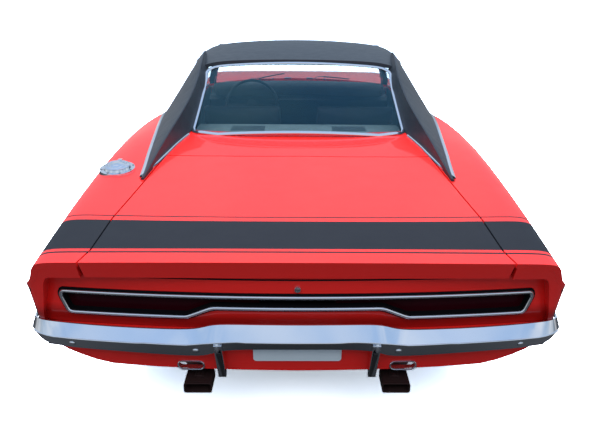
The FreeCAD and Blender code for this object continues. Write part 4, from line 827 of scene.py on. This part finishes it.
def door_handle(name, side):
    """A bowed grip on two round feet, with the lock below its rear foot."""
    tree = search_tree(f"door_{name}")
    body = f"door_{name}_body"
    seats = [from_side(tree, side, y, 0.800) for y in (-0.235, -0.085)]
    rear, front = (seat for seat, _ in seats)
    out = Vector((side, 0, 0.12)).normalized()
    path = [rear - out * 0.002, rear + out * 0.016 + AHEAD * 0.010]
    bow = ((0.22, 0.024), (0.5, 0.026), (0.78, 0.024))
    path += [rear.lerp(front, share) + out * lift for share, lift in bow]
    path += [front + out * 0.016 - AHEAD * 0.010, front - out * 0.002]
    piece(f"door_handle_{name}", sweep(path, UP, oval(0.011, 0.020, 14)), "chrome", body=body)
    plates = bmesh.new()
    for seat, normal in seats:
        turned([(0.017, -0.001), (0.017, 0.003), (0.013, 0.0055), (0.0, 0.0055)], seat, normal, 24, plates)
    seat, normal = from_side(tree, side, -0.235, 0.752)
    turned([
        (0.012, -0.001), (0.012, 0.003), (0.009, 0.005), (0.007, 0.0035), (0.0, 0.0035),
    ], seat, normal, 20, plates)
    piece(f"door_handle_plates_{name}", plates, "chrome", body=body)


def side_marker(name, side):
    """Amber lamp ahead of the front wheel and a red one behind the rear wheel."""
    lens = [(-0.014, -0.002), (0.014, -0.002), (0.013, 0.0045), (-0.013, 0.0045)]
    rim = [(-0.018, -0.002), (0.018, -0.002), (0.018, 0.0028), (-0.018, 0.0028)]
    out = Vector((side, 0, 0))
    for end, node, y, finish, slot_name in (
        ("front", "front_fenders", 2.255, "amber", "amber_lens"),
        ("rear", "quarter_panels", -2.250, "red_marker", "red_lens"),
    ):
        tree = search_tree(node)
        path = []
        for i in range(9):
            seat, normal = from_side(tree, side, y + 0.012 * (i - 4), 0.560)
            path.append(seat + normal * 0.0005)
        piece(f"side_marker_{end}_{name}", sweep(path, out, lens), finish, slot_name)
        path = [path[0] - (path[1] - path[0]) * 0.35] + path + [path[-1] + (path[-1] - path[-2]) * 0.35]
        piece(f"side_marker_rim_{end}_{name}", sweep(path, out, rim), "chrome")


def belt_moulding(name, side):
    """The bright strip along the top of the door, beside the glass."""
    tree = search_tree(f"door_{name}")
    path = []
    for i in range(31):
        y = -0.270 + 1.105 * i / 30
        hits = [drop(tree, side * (0.770 + 0.004 * k), y, 1.1)[0] for k in range(16)]
        crest = furthest(hits, lambda hit: hit.z, 0.0004)
        if crest:
            path.append(crest + UP * 0.0005)
    strip = sweep(path, UP, oval(0.012, 0.007, 10))
    piece(f"belt_moulding_{name}", strip, "chrome", body=f"door_{name}_body")


def drip_rail(name, side):
    """The gutter along the widest line of the roof."""
    path = []
    for i in range(33):
        y = 0.300 - 0.960 * i / 32
        hits = [shoot(roof_tree, (side * 1.2, y, 1.272 + 0.003 * k), (-side, 0, 0))[0] for k in range(12)]
        edge = furthest(hits, lambda hit: abs(hit.x), 0.0006)
        if edge:
            path.append(edge + Vector((side * 0.0015, 0, 0)))
    rail = sweep(path, Vector((side, 0, 0)), oval(0.013, 0.009, 10))
    piece(f"drip_rail_{name}", rail, "chrome")


def windscreen_surround():
    """A bar just inside the pane's edge, found by halving the distance along 96 rays from its middle."""
    tree = search_tree("windscreen")
    middle_y = 0.700
    path, ups = [], []
    for i in range(96):
        turn = 2 * math.pi * i / 96
        way = Vector((math.cos(turn), math.sin(turn) * 0.45, 0)).normalized()
        near, far = 0.05, 1.0
        for _ in range(18):
            reach = 0.5 * (near + far)
            seat, _ = drop(tree, way.x * reach, middle_y + way.y * reach)
            if seat:
                near = reach
            else:
                far = reach
        reach = near - 0.006
        seat, normal = drop(tree, way.x * reach, middle_y + way.y * reach)
        path.append(seat + normal * 0.001)
        ups.append(normal)
    piece("windscreen_surround", sweep(path, ups, oval(0.016, 0.010, 10), closed=True), "chrome")


def over_screen(tree, start_x, start_y, shares, rise, lift):
    """Places above the windscreen on a line across it, and the upward normals there."""
    path, ups = [], []
    for share in shares:
        spot, up = drop(tree, start_x + 0.30 * share, start_y - rise * share)
        if spot:
            path.append(spot + up * lift)
            ups.append(up)
    return path, ups


def wipers():
    tree = search_tree("windscreen")
    foot_tree = search_tree("cowl_panel", "windscreen")
    for name, x in (("left", -0.42), ("right", 0.14)):
        seat, normal = drop(foot_tree, x, 0.955)
        path, ups = over_screen(tree, x, 0.930, [i / 8 for i in range(1, 9)], 0.045, 0.010)
        arm = sweep([seat + normal * 0.004] + path, [normal] + ups, oval(0.009, 0.006, 8))
        piece(f"wiper_arm_{name}", arm, "steel")
        path, ups = over_screen(tree, x, 0.928, [0.25 + 0.09 * i for i in range(9)], 0.05, 0.004)
        piece(f"wiper_blade_{name}", sweep(path, ups, oval(0.006, 0.009, 8)), "rubber", "trim")


both(door_handle)
both(side_marker)
both(belt_moulding)
both(drip_rail)
windscreen_surround()
wipers()


# Cabin pieces that show through the glass.
def dash_pad():
    """The padded top of the dash, which follows the curve of the windscreen and narrows at its ends."""
    across = [-0.69 + 1.38 * i / 28 for i in range(29)]
    path = [Vector((x, 0.690 - 0.20 * x * x, 0.920)) for x in across]
    taper = [1.0 if abs(x) < 0.60 else 1.0 - 3.0 * (abs(x) - 0.60) for x in across]
    section = [
        (0.090, -0.050), (0.094, 0.0), (0.086, 0.030), (0.066, 0.048), (0.030, 0.056), (-0.030, 0.054),
        (-0.070, 0.040), (-0.092, 0.0), (-0.094, -0.050),
    ]
    piece("dash_pad", sweep(path, UP, section, taper=taper), "trim")


def shelf_board():
    """The trimmed board behind the rear seat, with a flat, slightly eased speaker grille near each end."""
    board = brick((-0.575, -1.290, 0.9450), (0.575, -0.925, 0.9500), bevel=0.002)
    piece("shelf_board", board, "shelf", "trim")
    grilles = bmesh.new()
    for side in (-1, 1):
        brick((side * 0.285 - 0.095, -1.100, 0.9500), (side * 0.285 + 0.095, -0.985, 0.9525), grilles, 0.001)
    piece("shelf_speaker_grilles", grilles, "mesh", "trim")


def cabin_mirror():
    mirror = brick((-0.105, 0.432, 1.222), (0.105, 0.446, 1.268), bevel=0.006)
    piece("cabin_mirror", mirror, "black", "trim")
    path = [Vector((0, 0.440, 1.265)), Vector((0, 0.432, 1.285)), Vector((0, 0.418, 1.298))]
    piece("cabin_mirror_stalk", sweep(path, AHEAD, oval(0.010, 0.010, 10)), "chrome")


dash_pad()
shelf_board()
cabin_mirror()


# Upholstery. Each cushion is a plain form that a short cloth run blows up, then gets its sewn channels.
SEAT_Y = -0.289
SWELL = 0.014
CHANNEL_DEPTH, CHANNEL_WIDTH = 0.006, 0.007


def apply_modifiers(made):
    """Replaces a piece's mesh by what its modifiers make of it."""
    result = bpy.data.meshes.new_from_object(made.evaluated_get(bpy.context.evaluated_depsgraph_get()))
    made.modifiers.clear()
    made.data = result
    return result


def swollen(blank):
    """Inflates a closed form a little with a cloth run and applies the result."""
    remesh = blank.modifiers.new("voxels", "REMESH")
    remesh.mode = "VOXEL"
    remesh.voxel_size = 0.014
    rest = apply_modifiers(blank)
    before = [corner.co.copy() for corner in rest.vertices]
    cloth = blank.modifiers.new("stuffing", "CLOTH")
    settings = cloth.settings
    settings.quality = 4
    settings.use_pressure = True
    settings.uniform_pressure_force = 4.0
    settings.tension_stiffness = 12
    settings.compression_stiffness = 12
    settings.shear_stiffness = 6
    settings.bending_stiffness = 0.6
    settings.effector_weights.gravity = 0
    for moment in range(1, 13):
        bpy.context.scene.frame_set(moment)
    blown = apply_modifiers(blank)
    for corner, start in zip(blown.vertices, before):
        move = corner.co - start
        if move.length > SWELL:
            corner.co = start + move * (SWELL / move.length)


def channels(mesh, facing, pitch, middle, reach):
    """Presses sewn channels into the side that faces the sitter."""
    for corner in mesh.vertices:
        across = corner.co.x - middle
        if corner.normal.dot(facing) < 0.55 or abs(across) > reach:
            continue
        off = abs((across / pitch + 0.5) % 1.0 - 0.5) * pitch
        corner.co -= facing * CHANNEL_DEPTH * math.exp(-((off / CHANNEL_WIDTH) ** 2))


def cushion(name, profile, low_x, high_x, facing, pleat):
    """A padded piece whose side view is the profile, in metres from the rear edge of the doors."""
    shape = bmesh.new()
    face = shape.faces.new([shape.verts.new((low_x + 0.008, SEAT_Y + y, z)) for y, z in profile])
    grown = bmesh.ops.extrude_face_region(shape, geom=[face])["geom"]
    moved = [part for part in grown if isinstance(part, bmesh.types.BMVert)]
    bmesh.ops.translate(shape, verts=moved, vec=(high_x - low_x - 0.016, 0, 0))
    bmesh.ops.recalc_face_normals(shape, faces=shape.faces[:])
    bmesh.ops.bevel(
        shape, geom=shape.edges[:], offset=0.022, offset_type="OFFSET", segments=3, profile=0.5,
        affect="EDGES", material=-1, clamp_overlap=True,
    )
    made = piece(name, shape, "seat", sharp=60)
    swollen(made)
    smooth = made.modifiers.new("smooth", "SUBSURF")
    smooth.levels = smooth.render_levels = 1
    fine = apply_modifiers(made)
    channels(fine, Vector(facing).normalized(), pleat, 0.5 * (low_x + high_x), 0.5 * (high_x - low_x) - 0.085)
    smooth_faces(fine)
    fine.materials.clear()
    fine.materials.append(finishes["seat"])
    return made


def mirrored_piece(made, name):
    """The same cushion for the car's other side."""
    mesh = made.data.copy()
    mesh.transform(Matrix.Scale(-1, 4, (1, 0, 0)))
    mesh.flip_normals()
    copy = linked(name, mesh)
    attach(copy, CAR)


def seat_blocks(name, middle, half, rear, front, low, high, bevel):
    """A plain block under the seats on each side of the tunnel."""
    blocks = bmesh.new()
    for side in (-1, 1):
        x = side * middle
        brick((x - half, SEAT_Y + rear, low), (x + half, SEAT_Y + front, high), blocks, bevel)
    piece(name, blocks, "black", "trim")


def upholstery():
    """Two front seats and a rear bench: a cushion and a back each, as side views in (y, z)."""
    base = [(0.075, 0.330), (0.572, 0.348), (0.584, 0.425), (0.552, 0.456), (0.135, 0.424), (0.062, 0.440)]
    back = [
        (0.020, 0.462), (-0.124, 0.890), (-0.166, 0.990), (-0.200, 0.984), (-0.186, 0.882), (-0.050, 0.455),
    ]
    front = cushion("seat_cushion_right", base, 0.100, 0.640, (0, -0.08, 1), 0.062)
    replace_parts(front, "front_seats")
    mirrored_piece(front, "seat_cushion_left")
    mirrored_piece(cushion("seat_back_right", back, 0.100, 0.640, (0, 0.94, 0.34), 0.062), "seat_back_left")
    seat_blocks("seat_risers", 0.370, 0.190, 0.100, 0.490, 0.2155, 0.322, 0.006)
    bench = [
        (-0.300, 0.392), (-0.226, 0.388), (-0.214, 0.424), (-0.250, 0.442), (-0.540, 0.478), (-0.545, 0.400),
    ]
    bench_back = [(-0.572, 0.505), (-0.700, 0.862), (-0.738, 0.884), (-0.764, 0.868), (-0.760, 0.505)]
    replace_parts(cushion("rear_seat_cushion", bench, -0.560, 0.560, (0, -0.12, 1), 0.070), "rear_seat")
    cushion("rear_seat_back", bench_back, -0.560, 0.560, (0, 0.93, 0.35), 0.070)
    seat_blocks("rear_seat_base", 0.345, 0.205, -0.420, -0.240, 0.352, 0.384, 0.004)


def door_card(name, side):
    """The trimmed inner side of a door, with an armrest."""
    tree = search_tree(f"door_{name}")
    shape = bmesh.new()
    seat, _ = shoot(tree, (0, 0.35, 0.70), (side, 0, 0))
    inner = abs(seat.x) - 0.0015
    low, high = sorted((side * (inner - 0.008), side * inner))
    brick((low, -0.255, 0.335), (high, 0.860, 0.905), shape, 0.003)
    low, high = sorted((side * (inner - 0.055), side * (inner - 0.006)))
    brick((low, 0.020, 0.620), (high, 0.330, 0.668), shape, 0.012)
    piece(f"door_card_{name}", shape, "trim", body=f"door_{name}_body")


def lamp_bowls():
    """A bright bowl with a bulb cap behind each of the four headlamp glasses."""
    bowl = [
        (0.0700, 0.0), (0.0600, -0.014), (0.0400, -0.0235), (0.0200, -0.0275), (0.0, -0.0285), (0.0, -0.0300),
        (0.0200, -0.0290), (0.0400, -0.0250), (0.0610, -0.0155), (0.0715, -0.0010), (0.0700, 0.0),
    ]
    cap = [(0.0, -0.012), (0.010, -0.012), (0.013, -0.020), (0.013, -0.0275), (0.0, -0.0275)]
    bowls, caps = bmesh.new(), bmesh.new()
    for x, y in ((0.588, 2.508), (0.772, 2.478)):
        for side in (-1, 1):
            spot, out = Vector((side * x, y, 0.593)), Vector((side * 0.10, 1, 0))
            turned(bowl, spot, out, 40, bowls)
            turned(cap, spot, out, 20, caps)
    piece("headlamp_bowls", bowls, "chrome")
    piece("headlamp_bulb_caps", caps, "steel")


upholstery()
both(door_card)
lamp_bowls()


# Floor, backdrop and light.
def ray_kinds(tree, *kinds):
    """1 for the named kinds of ray, 0 for the rest."""
    path = tree.nodes.new("ShaderNodeLightPath")
    return add_values(tree, [path.outputs[kind] for kind in kinds])


def lit_floor(tree, shade, glow, far_glow, start=2.6, end=6.0):
    """A white floor that takes the shadow, with a glow that grows away from the car."""
    lit = tree.nodes.new("ShaderNodeBsdfDiffuse")
    lit.inputs["Color"].default_value = (shade, shade, shade, 1)
    place = tree.nodes.new("ShaderNodeTexCoord")
    distance = tree.nodes.new("ShaderNodeVectorMath")
    distance.operation = "LENGTH"
    tree.links.new(place.outputs["Object"], distance.inputs[0])
    light = tree.nodes.new("ShaderNodeEmission")
    fade = spread(tree, distance.outputs["Value"], glow, far_glow, start, end)
    tree.links.new(fade, light.inputs["Strength"])
    both_parts = tree.nodes.new("ShaderNodeAddShader")
    tree.links.new(lit.outputs[0], both_parts.inputs[0])
    tree.links.new(light.outputs[0], both_parts.inputs[1])
    return both_parts.outputs[0]


def make_floor():
    """A pale studio floor. Seen directly it is white round a soft shadow; it lights the car as grey ground."""
    shape = bmesh.new()
    bmesh.ops.create_grid(shape, x_segments=1, y_segments=1, size=150)
    mesh = bpy.data.meshes.new("floor")
    shape.to_mesh(mesh)
    shape.free()
    floor = linked("floor", mesh)
    finish = bpy.data.materials.new("white_studio_floor")
    finish.use_nodes = True
    tree = finish.node_tree
    ground = tree.nodes["Principled BSDF"]
    ground.inputs["Base Color"].default_value = (0.13, 0.135, 0.14, 1)
    ground.inputs["Roughness"].default_value = 0.8
    not_direct = ray_kinds(tree, "Is Glossy Ray", "Is Transmission Ray")
    mirrored = mix_shaders(tree, not_direct, ground.outputs[0], lit_floor(tree, 0.05, 0.0, 0.55, 4.0, 10.0))
    seen = mix_shaders(tree, ray_kinds(tree, "Is Camera Ray"), mirrored, lit_floor(tree, 4.0, 0.30, 0.7))
    tree.links.new(seen, tree.nodes["Material Output"].inputs["Surface"])
    mesh.materials.append(finish)


def make_world():
    """A pale sky dome: white seen directly or through glass, a soft blue gradient in what it lights."""
    world = bpy.data.worlds.new("studio_sky")
    bpy.context.scene.world = world
    world.use_nodes = True
    tree = world.node_tree
    sky = tree.nodes["Background"]
    place = tree.nodes.new("ShaderNodeTexCoord")
    ramp = tree.nodes.new("ShaderNodeValToRGB")
    stops = ramp.color_ramp.elements
    stops[0].position = 0.0
    stops[0].color = (0.20, 0.24, 0.28, 1)
    stops[1].position = 0.9
    stops[1].color = (0.42, 0.60, 0.90, 1)
    middle = stops.new(0.30)
    middle.color = (0.42, 0.54, 0.68, 1)
    tree.links.new(along_axis(tree, place.outputs["Generated"], "Z"), ramp.inputs["Fac"])
    tree.links.new(ramp.outputs["Color"], sky.inputs["Color"])
    sky.inputs["Strength"].default_value = 1.0
    white = tree.nodes.new("ShaderNodeBackground")
    white.inputs["Color"].default_value = (1, 1, 1, 1)
    white.inputs["Strength"].default_value = 1.0
    cloud = spread(tree, noise(tree, place.outputs["Generated"], 2.6, 4.0), -0.9, 1.3)
    mirrored = arithmetic(tree, "MULTIPLY", cloud, ray_kinds(tree, "Is Glossy Ray"), clamp=True)
    dome = mix_shaders(tree, mirrored, sky.outputs[0], white.outputs[0])
    seen = mix_shaders(tree, ray_kinds(tree, "Is Camera Ray", "Is Transmission Ray"), dome, white.outputs[0])
    tree.links.new(seen, tree.nodes["World Output"].inputs["Surface"])


def soft_lamp(name, place, target, size, power):
    lamp = bpy.data.lights.new(name, "AREA")
    lamp.shape = "RECTANGLE"
    lamp.size, lamp.size_y = size
    lamp.energy = power
    holder = linked(name, lamp)
    holder.location = place
    holder.rotation_euler = (Vector(target) - Vector(place)).to_track_quat("-Z", "Y").to_euler()
    holder.visible_glossy = False


PHOTO_WIDTH = 612
FOCAL_PIXELS = 600
SENSOR_WIDTH = 36


def make_camera():
    """Stands where the photographer stood: behind the tail at eye height, looking slightly down."""
    data = bpy.data.cameras.new("camera")
    camera = linked("camera", data)
    bpy.context.scene.camera = camera
    data.sensor_width = SENSOR_WIDTH
    data.lens = SENSOR_WIDTH * FOCAL_PIXELS / PHOTO_WIDTH
    data.clip_end = 600
    camera.location = (0.00156, -4.40972, 1.68270)
    yaw, pitch, roll = 0.0137, 0.3693, 0.0093
    level = Matrix.Rotation(-yaw, 4, "Z") @ Matrix.Rotation(math.pi / 2 - pitch, 4, "X")
    camera.rotation_euler = (level @ Matrix.Rotation(roll, 4, "Z")).to_euler()


make_floor()
make_world()
soft_lamp("overhead", (0, -0.5, 5.5), (0, -0.5, 0), (9, 7), 600)
soft_lamp("rear_fill", (0, -6.5, 5.2), (0, -2.2, 0.6), (6, 3), 170)
make_camera()
